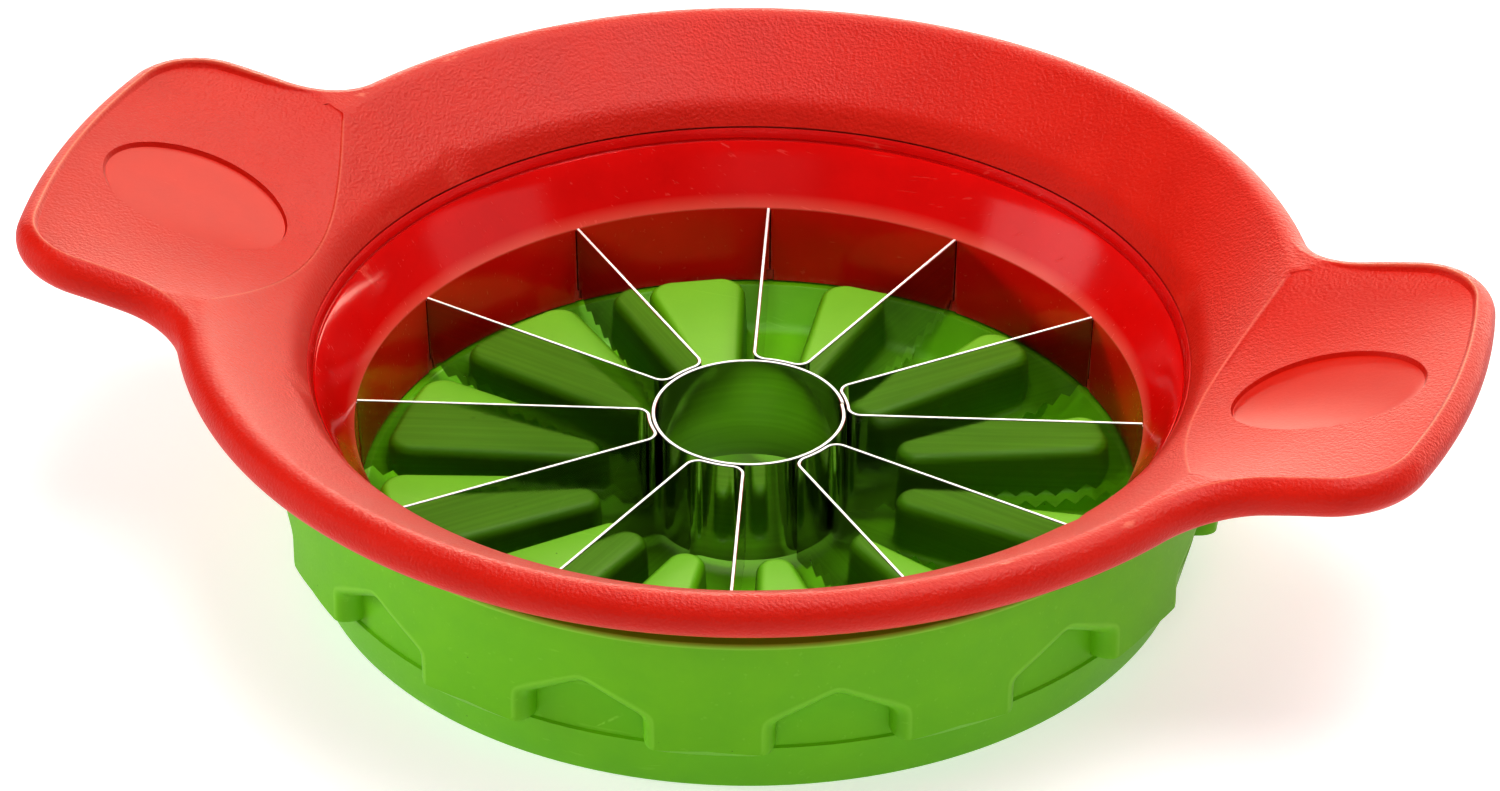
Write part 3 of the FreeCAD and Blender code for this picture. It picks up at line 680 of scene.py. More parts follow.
@dataclass(frozen=True)
class MouldedPlastic:
    """Finish of a moulded plastic piece.  Shares run from 0 to 1 and depths are in millimetres."""

    name: str
    colour: Colour
    deep: Colour
    # Painted highlight: pale tone painted where light catches edges, creases, lips and tops; scratches take it too.
    worn: Colour
    roughness: float
    polished_roughness: float
    grains_per_mm: float
    grain_strength: float
    grain_depth: float
    gleam: float
    specks: float
    scratch_rarity: float = 0.68
    # Start and run of the convex-edge mask, which is edge wear and painted highlight.
    wear_and_highlight_start: float = 0.55
    wear_and_highlight_run: float = 0.07
    edge_share: float = 0.3
    highlight_share: float = 0.6
    scratch_share: float = 0.10
    scratch_cut: float = 0.08
    scratch_blur: float = 0.18
    dust_shade: float = 0.25
    film_blur: float = 0.07
    polished_film_blur: float = 0.06
    grain_blur: float = 0.15
    polished_grain: float = 0.08
    sag_per_mm: float = 0.09
    sag_strength: float = 0.06
    sag_depth: float = 0.4
    index: float = 1.5

    def material(self, effects: Effects) -> bpy.types.Material:
        """Builds the material.

        Args:
            effects: shared surface effects.

        Returns:
            Material that reads object coordinates, the attribute polish and the attribute of painted highlight.
        """
        material, bench = blank_material(self.name)
        place, polish = bench.place(), bench.attribute("polish")
        grain = bench.effect(effects.grain, Place=place, Grains_per_mm=self.grains_per_mm)
        lines = bench.effect(effects.scratches, Place=place, Rarity=self.scratch_rarity)[0]
        film = bench.effect(effects.film, Place=place)[0]
        # Edge mask: partly edge wear, partly painted highlight on convex edges.
        wear_and_highlight = bench.effect(effects.wear_and_highlight, Place=place, Start=self.wear_and_highlight_start, Full=self.wear_and_highlight_start + self.wear_and_highlight_run)[0]
        dust = bench.effect(effects.specks, Place=place)[0]
        base = bench.mix(bench.span(grain["Mottle"], 0.35, 0.65), self.deep, self.colour)
        # Painted highlight: pale tone painted in on convex edges and where the highlight attribute is set.
        highlight_amount = bench.times(bench.attribute("worn"), self.highlight_share)
        base = bench.mix(bench.number("MAXIMUM", bench.times(wear_and_highlight, self.edge_share), highlight_amount), base, self.worn)
        base = bench.mix(bench.times(lines, self.scratch_share), base, self.worn)
        base = bench.mix(bench.times(dust, self.specks), base, [self.dust_shade * part for part in self.deep])
        unevenness = bench.times(bench.less(grain["Height"], 0.5), self.grain_blur)
        matt = bench.total(self.roughness, bench.times(film, self.film_blur), unevenness)
        shiny = bench.total(self.polished_roughness, bench.times(film, self.polished_film_blur),
                            bench.times(lines, self.scratch_blur))
        height = bench.times(grain["Height"], bench.span(polish, 0.0, 1.0, 1.0, self.polished_grain))
        height = bench.less(height, bench.times(lines, self.scratch_cut))
        normal = bench.bump(height, self.grain_strength, self.grain_depth)
        sag = bench.noise(bench.in_mm(place), self.sag_per_mm)
        normal = bench.bump(sag, self.sag_strength, self.sag_depth, normal)
        shader = bench.add("ShaderNodeBsdfPrincipled", {
            "Base Color": base, "Roughness": bench.between(polish, matt, shiny), "Normal": normal,
            "IOR": self.index, "Specular IOR Level": self.gleam})
        bench.add("ShaderNodeOutputMaterial", {"Surface": shader.outputs[0]})
        return material


@dataclass(frozen=True)
class RolledSteel:
    """Finish of cold-rolled stainless strip, with its drawing lines and ground edges."""

    name: str
    roughness: float = 0.07
    colour: Colour = (0.54, 0.54, 0.53)
    shade: Colour = (0.45, 0.45, 0.44)
    # Painted highlight: near-white tone painted on the ground edges, with less metal there.
    ground_edge_highlight: Colour = (0.86, 0.85, 0.82)
    speck: Colour = (0.2, 0.2, 0.2)
    fine_lines: Triple = (60, 9000, 0)
    coarse_lines: Triple = (25, 1400, 0)
    ground_lines: Triple = (9000, 250, 0)
    clouds_per_mm: float = 0.09
    specks_per_mm: float = 0.7
    speck_share: float = 0.35
    scratch_rarity: float = 0.7
    film_blur: float = 0.05
    ground_blur: float = 0.25
    scratch_blur: float = 0.15
    line_blur: float = 0.02
    highlight_edge_metal: float = 0.15
    line_strength: float = 0.12
    line_depth: float = 0.01
    brushed: float = 0.15

    def material(self, effects: Effects) -> bpy.types.Material:
        """Builds the material.

        Args:
            effects: shared surface effects.

        Returns:
            Material that reads the run attribute along the strip.
        """
        material, bench = blank_material(self.name)
        place, ground = bench.place(), bench.attribute("polish")
        run = bench.attribute("run", "Vector")
        along = bench.noise(bench.scaled(run, self.fine_lines), 1.0, 3.0, 0.6)
        coarse = bench.noise(bench.scaled(run, self.coarse_lines), 1.0)
        across = bench.noise(bench.scaled(run, self.ground_lines), 1.0, 2.0, 0.6)
        film = bench.effect(effects.film, Place=place, Clouds_per_mm=self.clouds_per_mm)[0]
        marks = bench.effect(effects.scratches, Place=place, Rarity=self.scratch_rarity)[0]
        specks = bench.effect(effects.specks, Place=place, Cells_per_mm=self.specks_per_mm)[0]
        base = bench.mix(bench.span(coarse, 0.3, 0.7), self.shade, self.colour)
        # Painted highlight: pale tone painted where polish marks a ground edge.
        base = bench.mix(ground, base, self.ground_edge_highlight)
        base = bench.mix(bench.times(specks, self.speck_share), base, self.speck)
        rough = bench.total(self.roughness, bench.times(film, self.film_blur), bench.times(ground, self.ground_blur),
                            bench.times(marks, self.scratch_blur), bench.times(along, self.line_blur))
        shader = bench.add("ShaderNodeBsdfPrincipled", {
            "Base Color": base, "Metallic": bench.span(ground, 0.4, 1.0, 1.0, self.highlight_edge_metal), "Roughness": rough,
            "Normal": bench.bump(bench.between(ground, along, across), self.line_strength, self.line_depth),
            "Anisotropic": self.brushed})
        bench.add("ShaderNodeOutputMaterial", {"Surface": shader.outputs[0]})
        return material


# The third colour of each plastic is the pale tone of painted highlights and of scratches.
RED_TEXTURED = MouldedPlastic("red_spark_texture", (0.59, 0.015, 0.003), (0.555, 0.012, 0.002), (0.84, 0.33, 0.20),
                              roughness=0.38, polished_roughness=0.27, grains_per_mm=2.2, grain_strength=1.0,
                              grain_depth=0.17, gleam=0.30, specks=0.0, scratch_rarity=0.76)
RED_GLOSS = MouldedPlastic("red_gloss", (0.70, 0.004, 0.003), (0.65, 0.003, 0.002), (0.90, 0.25, 0.17),
                           roughness=0.36, polished_roughness=0.11, grains_per_mm=2.2, grain_strength=1.0,
                           grain_depth=0.13, gleam=0.36, specks=0.15)
GREEN_SATIN = MouldedPlastic("green_satin", (0.17, 0.48, 0.001), (0.15, 0.45, 0.001), (0.44, 0.78, 0.13),
                             roughness=0.42, polished_roughness=0.3, grains_per_mm=2.4, grain_strength=0.22,
                             grain_depth=0.03, gleam=0.33, specks=0.7)
TUBE_STEEL = RolledSteel("tube_steel")
STRIP_STEEL = RolledSteel("strip_steel", roughness=0.03)


# ---------------------------------------------------------------- repeats
class PolarPattern:
    """Geometry node tree that sets copies of one sector at equal turns about Z."""

    COUNT, START, WELD, FINISH = "Count", "Start turn", "Weld distance", "Finish"

    def __init__(self) -> None:
        """Builds the tree."""
        tree = bpy.data.node_groups.new("polar_pattern", "GeometryNodeTree")
        face = tree.interface
        face.new_socket("Geometry", in_out="INPUT", socket_type="NodeSocketGeometry")
        for label, kind in ((self.COUNT, "NodeSocketInt"), (self.START, "NodeSocketFloat"),
                            (self.WELD, "NodeSocketFloat"), (self.FINISH, "NodeSocketMaterial")):
            face.new_socket(label, in_out="INPUT", socket_type=kind)
        face.new_socket("Geometry", in_out="OUTPUT", socket_type="NodeSocketGeometry")
        bench = Bench(tree)
        given = bench.add("NodeGroupInput").outputs
        points = bench.add("GeometryNodePoints", {"Count": given[self.COUNT]})
        step = bench.number("DIVIDE", math.tau, given[self.COUNT])
        turn = bench.times(bench.add("GeometryNodeInputIndex").outputs[0], step)
        spin = bench.add("ShaderNodeCombineXYZ", {"Z": bench.total(turn, given[self.START])})
        copies = bench.add("GeometryNodeInstanceOnPoints", {
            "Points": points.outputs[0], "Instance": given["Geometry"], "Rotation": spin.outputs[0]})
        real = bench.add("GeometryNodeRealizeInstances", {"Geometry": copies.outputs[0]})
        joined = bench.add("GeometryNodeMergeByDistance", {"Geometry": real.outputs[0],
                                                           "Distance": given[self.WELD]})
        dressed = bench.add("GeometryNodeSetMaterial", {"Geometry": joined.outputs[0],
                                                        "Material": given[self.FINISH]})
        bench.add("NodeGroupOutput", {"Geometry": dressed.outputs[0]})
        self.tree = tree

    def identifier(self, label: str) -> str:
        """Identifier of the tree's input with this label."""
        return next(item.identifier for item in self.tree.interface.items_tree
                    if item.name == label and item.in_out == "INPUT")

    def repeat(self, name: str, sector: bpy.types.Mesh, count: int, start: float,
               material: bpy.types.Material, weld: float = 0.004, sharp: float = 32.0) -> bpy.types.Object:
        """Repeats a sector about Z.

        Args:
            name: name of the piece.
            sector: mesh of one sector, in metres.
            count: number of copies.
            start: direction of the first copy, in degrees.
            material: finish of the piece.
            weld: millimetres under which neighbouring points join.
            sharp: edges that turn by more degrees than this stay crisp.

        Returns:
            The piece, a plain mesh.
        """
        holder = new_piece(name + "_sector", sector, None)
        modifier = holder.modifiers.new("pattern", "NODES")
        modifier.node_group = self.tree
        for label, value in ((self.COUNT, count), (self.START, math.radians(start)), (self.WELD, weld * MM),
                             (self.FINISH, material)):
            modifier[self.identifier(label)] = value
        graph = bpy.context.evaluated_depsgraph_get()
        mesh = bpy.data.meshes.new_from_object(holder.evaluated_get(graph))
        bpy.data.objects.remove(holder)
        mesh.name = name
        tidy_mesh(mesh, weld * MM, sharp)
        return new_piece(name, mesh, material)


# ---------------------------------------------------------------- handle frame
@dataclass
class HandleFrame:
    """Funnel bowl with rolled rim, two scooped handles and a sleeve inside the cup."""

    half_width: float = 29.2
    fillet: float = 11.3
    corner: float = 11.8
    wall: float = 2.6
    sleeve_radius: float = 58.9
    sleeve_thickness: float = 2.3
    sleeve_lap: float = 0.8
    scoop_half_width: float = 27.5
    scoop_inset: float = 12.8
    scoop_drop: float = 7.4
    scoop_rise: float = 7.0
    scoop_tip_rise: float = 0.2
    scoop_step: float = 0.38
    scoop_margin: float = 2.8
    step_width: float = 0.6
    crease_softness: float = 0.05
    crease_depth: float = 0.2
    crease_run: float = 0.08
    crease_fade: float = 0.9
    crease_end: float = 24.5
    # Painted highlight: width of the pale lines along the crease and along the lip of the scoop's step.
    highlight_width: float = 0.16
    pocket_margin: float = 3.8
    heel_margin: float = 5.6
    thumb_place: float = 78.5
    thumb_half: tuple[float, float] = (12.5, 9.5)
    thumb_depth: float = 0.6
    fine: float = 0.62
    coarse: float = 1.1
    band: float = 5.0
    band_rows: tuple[float, ...] = (4.5, 4.05, 3.7, 3.45, 3.25, 3.1, 2.95, 2.8, 2.65, 2.5, 2.3, 2.05)
    roll_polish: float = 0.8
    under_polish: float = 0.3
    under_rows: int = 24
    heel_rounds: tuple[float, float] = (1.3, 0.4)
    heel_drop: float = 0.28
    edge_gap: float = 0.4
    knee_rings: tuple[float, float] = (62.0, 0.36)
    bowl_rings: tuple[float, float, float] = (62.4, 72.0, 0.85)
    panel_root: float = 50.0
    panel_start: float = 54.0
    panel_half: float = 32.0
    panel_pitch: tuple[float, float] = (0.94, 1.08)
    sleeve_ease: float = 0.25
    crease_half: float = 26.0
    crease_clearance: float = 0.95
    crease_loops: tuple[tuple[float, float], ...] = ((0.0, 0.28), (-0.3, 0.75))
    # Painted highlight: strength of the pale line along the crease.
    crease_highlight: float = 0.45
    thumb_edge: tuple[float, float] = (-0.2, 0.12)
    thumb_loops: tuple[float, ...] = (0.5, 0.25, 0.12, -0.04, -0.2, -0.42)
    thumb_clearance: float = 0.7
    thumb_stations: int = 132

    def outline(self) -> tuple[np.ndarray, np.ndarray, np.ndarray]:
        """Plan of rim and handles.

        Returns:
            Points, outward normals and handle weights round the whole outline.
        """
        rim, reach = HEAD.rim_radius + HEAD.roll, HEAD.reach
        fillet_centre = np.array([math.sqrt((rim + self.fillet) ** 2 - (self.half_width + self.fillet) ** 2),
                                  self.half_width + self.fillet])
        corner_y = self.half_width - self.corner
        corner_centre = np.array([math.sqrt((reach - self.corner) ** 2 - corner_y**2), corner_y])
        tip_turn = math.atan2(corner_centre[1], corner_centre[0])
        rim_turn = math.atan2(fillet_centre[1], fillet_centre[0])
        points, normals, weights = [], [], []

        def arc(centre: np.ndarray, radius: float, start: float, end: float, spacing: float, sign: float,
                weight: tuple[float, float]) -> None:
            """Adds an arc, its normals and its handle weights."""
            count = max(2, math.ceil(abs(end - start) * radius / spacing))
            share = np.arange(count) / count
            outward = spokes(start + (end - start) * share)
            points.append(centre + outward * radius)
            normals.append(outward * sign)
            weights.append(weight[0] + (weight[1] - weight[0]) * share)

        origin = np.zeros(2)
        arc(origin, reach, 0.0, tip_turn, self.fine, 1, (1, 1))
        arc(corner_centre, self.corner, tip_turn, math.pi / 2, self.fine, 1, (1, 1))
        run = corner_centre[0] - fillet_centre[0]
        count = max(2, math.ceil(run / self.fine))
        share = np.arange(count)[:, None] / count
        points.append(np.array([corner_centre[0], self.half_width]) - share * np.array([run, 0]))
        normals.append(np.tile([0.0, 1.0], (count, 1)))
        weights.append(np.ones(count))
        arc(fillet_centre, self.fillet, -math.pi / 2, rim_turn - math.pi, self.fine, -1, (1, 0))
        arc(origin, rim, rim_turn, math.pi / 2, self.coarse, 1, (0, 0))
        points.append(np.array([[0.0, rim]]))
        normals.append(np.array([[0.0, 1.0]]))
        weights.append(np.zeros(1))
        place, normal, weight = np.concatenate(points), np.concatenate(normals), np.concatenate(weights)
        left = np.array([-1.0, 1.0])
        half_p = np.concatenate([place, place[-2::-1] * left])
        half_n = np.concatenate([normal, normal[-2::-1] * left])
        half_w = np.concatenate([weight, weight[-2::-1]])
        return (np.concatenate([half_p, -half_p[1:-1]]), np.concatenate([half_n, -half_n[1:-1]]),
                np.concatenate([half_w, half_w[1:-1]]))

    def scoop_height(self, x: np.ndarray, y: np.ndarray) -> np.ndarray:
        """Height of the scoop surface over a handle."""
        begin, end = HEAD.rim_radius - self.scoop_inset, HEAD.reach - HEAD.roll
        share = (np.abs(x) - begin) / (end - begin)
        low = HEAD.rim_height + HEAD.roll - self.scoop_drop
        tip = float(HEAD.mid_height(np.array(end))) + HEAD.roll - self.scoop_step
        rise = self.scoop_rise + (self.scoop_tip_rise - self.scoop_rise) * share
        return low + (tip - low) * share + rise * (y / self.scoop_half_width) ** 2

    def inner_height(self, x: np.ndarray, y: np.ndarray) -> np.ndarray:
        """Height of bowl and scoop inside the rolled edge."""
        return self.scooped(HEAD.top_height(np.hypot(x, y)), x, y, 1.0)

    def scooped(self, top: np.ndarray, x: np.ndarray, y: np.ndarray, share: float) -> np.ndarray:
        """Height of a surface after the scoop is cut into it.

        Args:
            top: heights before.
            x: places along the handles.
            y: places across them.
            share: how far the scoop is cut, from 0 to 1.

        Returns:
            Heights after.
        """
        over = top - self.scoop_height(x, y)
        ledge = smooth_step(over, 0.0, self.crease_run) * np.exp(-np.maximum(over, 0.0) / self.crease_fade)
        return top - share * (soft_positive(over, self.crease_softness) + self.crease_depth * ledge)

    def crease(self, offset: float) -> np.ndarray:
        """Plan line where bowl and scoop meet on the handle along +X.

        Args:
            offset: shift of the line along X.

        Returns:
            N by 2 points across the handle.
        """
        across = np.linspace(-self.crease_half, self.crease_half, 80)
        low, high = np.full_like(across, HEAD.knee_radius - 3), np.full_like(across, HEAD.rim_radius)
        meet = bisect(lambda x: HEAD.top_height(np.hypot(x, across)) <= self.scoop_height(x, across), low, high, 30)
        return np.column_stack([meet + offset, across])

    def thumb_share(self, x: np.ndarray, y: np.ndarray) -> np.ndarray:
        """How deep the oval recess is at a place, from 0 outside to 1 on its floor."""
        ratio = np.hypot((np.abs(x) - self.thumb_place) / self.thumb_half[0], y / self.thumb_half[1])
        return 1 - smooth_step((ratio - 1) * self.thumb_half[1], *self.thumb_edge)

    def under_height(self, x: np.ndarray, y: np.ndarray) -> np.ndarray:
        """Height of the lower surface, one wall thickness behind the upper."""
        small = 0.05
        here = self.inner_height(x, y)
        slope_x = (self.inner_height(x + small, y) - here) / small
        slope_y = (self.inner_height(x, y + small) - here) / small
        return here - self.wall * np.sqrt(1 + slope_x**2 + slope_y**2)

    @property
    def joint(self) -> float:
        """Radius of the bowl's edge at the open joint."""
        return HEAD.parting_radius + HEAD.parting_gap / 2 * math.cos(math.radians(HEAD.cone_angle))

    def loose_points(self, circle: np.ndarray, middle: np.ndarray) -> np.ndarray:
        """Plan points between the lines that the upper surface follows.

        Args:
            circle: stations on the bowl's edge.
            middle: plan line where bowl and scoop meet.

        Returns:
            N by 2 points over bowl and handles.
        """
        knee_end, knee_step = self.knee_rings
        radii = np.concatenate([np.arange(self.joint + 0.35, knee_end, knee_step), np.arange(*self.bowl_rings)])
        bowl = np.concatenate([circle / self.joint * radius for radius in radii])
        bowl = bowl[(np.abs(bowl[:, 1]) > self.panel_half) | (np.abs(bowl[:, 0]) < self.panel_root)]
        along, across = self.panel_pitch
        xs = np.arange(self.panel_start, HEAD.reach, self.fine * along)
        ys = np.arange(-self.panel_half, self.panel_half, self.fine * across)
        grid_x, grid_y = np.meshgrid(xs, ys, indexing="ij")
        grid_y = grid_y + (np.arange(len(xs)) % 2)[:, None] * self.fine * across / 2
        panel = np.stack([grid_x.ravel(), grid_y.ravel()], axis=1)
        x, y = panel.T
        ratio = np.hypot((x - self.thumb_place) / self.thumb_half[0], y / self.thumb_half[1])
        keep = (np.abs(y) < self.panel_half - 0.2) & (np.hypot(x, y) > self.joint + self.edge_gap)
        keep &= np.abs((ratio - 1) * self.thumb_half[1]) > self.thumb_clearance
        keep &= ((np.abs(x - np.interp(y, middle[:, 1], middle[:, 0])) > self.crease_clearance)
                 | (np.abs(y) > self.crease_half + 0.5))
        return np.concatenate([bowl, panel[keep], -panel[keep]])

    def top_patch(self, shell: Shell, edge: np.ndarray, limit: np.ndarray, angles: np.ndarray) -> None:
        """Adds bowl and handle panels inside the rolled edge.

        Args:
            shell: shell that gets the patch.
            edge: plan loop where the rolled edge's band begins.
            limit: plan loop a little inside it, which bounds the loose points.
            angles: directions of the stations on the parting circle.
        """
        circle = spokes(angles) * self.joint
        middle = self.crease(0.0)
        loose = self.loose_points(circle, middle)
        loose = loose[inside(loose, limit)]
        turn = np.linspace(0, math.tau, self.thumb_stations, endpoint=False)
        lines = []
        for offset in self.thumb_loops:
            oval = np.stack([(self.thumb_half[0] + offset) * np.cos(turn) + self.thumb_place,
                             (self.thumb_half[1] + offset) * np.sin(turn)], axis=1)
            lines += [oval, -oval]
        for near, far in self.crease_loops:
            loop = np.concatenate([self.crease(far), self.crease(near)[::-1]])
            lines += [loop, -loop]
        plane, triangles = fill(edge, [circle], lines, loose)
        x, y = plane.T
        thumb = self.thumb_share(x, y)
        half = len(middle) // 2
        away = np.abs(x) - np.interp(np.abs(y), middle[half:, 1], middle[half:, 0])
        # Painted highlight: a pale line along the crease, where the step between bowl and scoop catches the light.
        worn = np.exp(-((away / self.highlight_width) ** 2)) * (np.abs(y) < self.crease_end)
        height = self.inner_height(x, y) - self.thumb_depth * thumb
        shell.add_triangles(raised(plane, height), triangles, thumb, self.crease_highlight * worn)

    def sleeve_line(self) -> list[tuple[float, float]]:
        """Radius and height points from the knee's back down the sleeve and up to the open joint."""
        cone, bowl = math.radians(HEAD.cone_angle), HEAD.bowl_angle
        bend = self.wall / (1 + math.sin(cone) * math.sin(bowl) + math.cos(cone) * math.cos(bowl))
        back_r = HEAD.knee_radius + bend * (math.sin(cone) + math.sin(bowl))
        back_z = HEAD.cone_height(HEAD.knee_radius) - bend * (math.cos(cone) + math.cos(bowl))
        bore = self.sleeve_radius - self.sleeve_thickness
        shoulder = HEAD.blade_top + self.sleeve_lap
        play = HEAD.cone_thickness + HEAD.play
        top = back_z - (back_r - self.sleeve_radius) * HEAD.cone_slope
        foot = HEAD.clamp_top + HEAD.play
        shoulder_r = HEAD.cut_radius + self.sleeve_lap / HEAD.cone_slope + play / math.sin(cone)
        behind = HEAD.behind_cone(self.joint, play)
        return [(back_r, back_z), (self.sleeve_radius + 0.02, top + 0.03), (self.sleeve_radius, top - 1),
                (self.sleeve_radius, foot + 4), (self.sleeve_radius, foot), (bore, foot), (bore, foot + 5),
                (bore, shoulder), (shoulder_r, shoulder), (behind[0] - 2, behind[1] - 2 * HEAD.cone_slope), behind,
                (self.joint, HEAD.cone_height(self.joint))]

    def build(self) -> bpy.types.Mesh:
        """Builds the whole frame as one closed shell."""
        place, normal, weight = self.outline()
        roll = HEAD.roll
        centre = place - normal * roll
        level = HEAD.mid_height(np.hypot(centre[:, 0], centre[:, 1]))
        rows, polish, worn = [], [], []

        def row(points: np.ndarray, heights: np.ndarray | float, shine: float, highlight_amount: float = 0.0) -> None:
            """Adds one row round the outline."""
            rows.append(raised(points, heights))
            polish.append(np.full(len(points), shine))
            worn.append(weight * highlight_amount)

        step_in, step_out = self.scoop_margin - self.step_width / 2, self.scoop_margin + self.step_width / 2
        for depth in (self.band, *self.band_rows):
            points = place - normal * depth
            x, y = points.T
            if depth > roll:
                top = HEAD.top_height(np.hypot(x, y))
            else:
                top = level + math.sqrt(roll**2 - (roll - depth) ** 2)
            # Painted highlight: a pale line along the lip of the scoop's step, on the handles only.
            highlight_amount = math.exp(-(((depth - self.scoop_margin + self.step_width / 2) / self.highlight_width) ** 2))
            row(points, self.scooped(top, x, y, float(smooth_step(np.array(depth), step_in, step_out))), 0.0, highlight_amount)
        for turn in range(70, -91, -10):
            shine = float(smooth_step(np.array(-turn), -5, 45)) * self.roll_polish
            row(centre + normal * roll * math.cos(math.radians(turn)),
                level + roll * math.sin(math.radians(turn)), shine)
        margin = self.heel_margin + (self.pocket_margin - self.heel_margin) * weight
        heel = self.heel_rounds[0] + (self.heel_rounds[1] - self.heel_rounds[0]) * weight
        drop = self.heel_drop * (1 - weight)
        for turn in (0, 30, 60, 90):
            depth = margin - heel * (1 - math.sin(math.radians(turn)))
            low = level - roll - drop * (depth - roll) + heel * (1 - math.cos(math.radians(turn)))
            row(place - normal * depth[:, None], low, self.under_polish)
        inner = place - normal * (margin + 0.05)[:, None]
        band_edge = place - normal * self.band
        angles = np.arctan2(band_edge[:, 1], band_edge[:, 0])
        line = self.sleeve_line()
        for share in np.linspace(0, 1, self.under_rows):
            points = inner + (spokes(angles) * (line[0][0] + self.sleeve_ease) - inner) * share
            row(points, self.under_height(*points.T), self.under_polish)
        for radius, height in line:
            row(spokes(angles) * radius, height, self.under_polish)
        shell = Shell()
        shell.add_grid(np.array(rows), around=True, polish=np.array(polish), worn=np.array(worn))
        self.top_patch(shell, band_edge, place - normal * (self.band + self.edge_gap), angles)
        return shell.mesh("handle_frame_shell")

    def dress(self, material: bpy.types.Material) -> None:
        """Builds the piece and settles it."""
        piece = new_piece("frame_shell", self.build(), material)
        settle(piece, Body.SLICER, Slot.RED_TEXTURED, "handle_frame")


# ---------------------------------------------------------------- blade carrier
@dataclass
class BladeCarrier:
    """Glossy cone above a slotted wall, made as one sector for each blade."""

    blade_slot: float = 0.7
    nib_slot: float = 1.5
    slot_top: float = 18.9
    edge_round: float = 0.28
    edge_steps: int = 5
    # Painted highlight: strength of the pale line on the edge between wall and cone.
    edge_highlight: float = 0.7
    wall_rows: tuple[float, float] = (12.5, 15.8)
    cone_rows: tuple[float, ...] = (53.6, 54.8, 56.0)
    wall_stations: int = 18
    groove_line: tuple[tuple[float, float], ...] = ((0.0, 0.15), (0.15, 0.8), (0.5, 1.0), (0.85, 0.8), (1.0, 0.15))

    def profile(self) -> tuple[list[tuple[float, float]], int]:
        """Closed line of the cone and the wall.

        Returns:
            Radius and height points, and the number of the row at the slots' top on the outer face.
        """
        cut, top, foot = HEAD.cut_radius, HEAD.blade_top, HEAD.slicer_foot
        inner_foot = cut - HEAD.wall_draft
        angle = math.radians(HEAD.cone_angle)

        def wall(height: float) -> tuple[float, float]:
            """Point of the wall's inner face."""
            return inner_foot + HEAD.wall_draft * (height - foot) / (top - foot), height

        nib_top = HEAD.clamp_top + HEAD.play
        line = [wall(height) for height in (foot, nib_top, *self.wall_rows, self.slot_top)]
        centre = (cut + self.edge_round * 0.82, top - self.edge_round * 0.42)
        start, end = math.pi - 0.02, angle + math.pi / 2
        for index in range(self.edge_steps + 1):
            turn = start - index / self.edge_steps * (start - end)
            line.append((centre[0] + self.edge_round * 0.8 * math.cos(turn),
                         centre[1] + self.edge_round * 0.8 * math.sin(turn)))
        lip = HEAD.parting_radius - HEAD.parting_gap / 2 * math.cos(angle)
        groove = HEAD.gloss_radius
        line += [(radius, HEAD.cone_height(radius)) for radius in (*self.cone_rows, groove - 0.12)]
        step_r, step_z = math.cos(angle) * HEAD.gloss_groove, math.sin(angle) * HEAD.gloss_groove
        low = HEAD.cone_height(groove)
        line += [(groove + step_r * across + step_z * deep, low + step_z * across - step_r * deep)
                 for across, deep in self.groove_line]
        line += [(radius, HEAD.cone_height(radius)) for radius in (groove + step_r + 0.1, lip - 0.1, lip - 0.03)]
        line += [HEAD.behind_cone(lip, 0.12), HEAD.behind_cone(lip, HEAD.cone_thickness)]
        outer = HEAD.wall_outer
        line.append((outer, HEAD.cone_height(outer - HEAD.cone_thickness / math.sin(angle))))
        first_outer = len(line)
        line += [(outer, height) for height in (self.slot_top, *self.wall_rows[::-1], nib_top, foot)]
        return line, first_outer

    def sector(self) -> bpy.types.Mesh:
        """Builds the sector about one blade."""
        line, outer_top = self.profile()
        blade = math.degrees(self.blade_slot / 2 / HEAD.cut_radius)
        nib = math.degrees(self.nib_slot / 2 / HEAD.cut_radius)
        side = np.concatenate([[blade, nib], np.linspace(1.4, 180.0 / HEAD.wedges, self.wall_stations)])
        angles = np.radians(np.concatenate([-side[::-1], side]))
        grid = ring(line, angles)
        middle = len(angles) // 2 - 1
        skip = np.zeros((len(line), len(angles)), bool)
        skip[[*range(4), *range(outer_top, outer_top + 4)], middle] = True
        skip[[0, outer_top + 3, -1], middle - 1:middle + 2] = True
        radii = np.hypot(grid[..., 0], grid[..., 1])
        shine = (radii < HEAD.gloss_radius + HEAD.gloss_groove).astype(float)
        # Painted highlight on the rounded edge where the wall meets the cone.
        edge = (radii < HEAD.cut_radius + self.edge_round) & (grid[..., 2] > HEAD.blade_top - self.edge_round)
        shell = Shell()
        shell.add_grid(grid, closed=True, polish=shine, skip=skip, worn=self.edge_highlight * edge)
        inner, outer = grid[:5], grid[outer_top:outer_top + 5][::-1]
        parts = [(slice(1, None), middle), (slice(1, None), middle + 1), (slice(2), middle - 1), (slice(2), middle + 2),
                 (4, slice(middle, middle + 2)), (1, slice(middle - 1, middle + 1)), (1, slice(middle + 1, middle + 3))]
        for part in parts:
            shell.add_grid(np.stack([inner[part], outer[part]]))
        return shell.mesh("carrier_sector")

    def dress(self, pattern: PolarPattern, material: bpy.types.Material) -> None:
        """Repeats the sector and settles the piece."""
        turn = 180.0 / HEAD.wedges
        piece = pattern.repeat("cone_and_wall", self.sector(), HEAD.wedges, turn, material, sharp=40.0)
        settle(piece, Body.SLICER, Slot.RED_GLOSS, "blade_carrier")


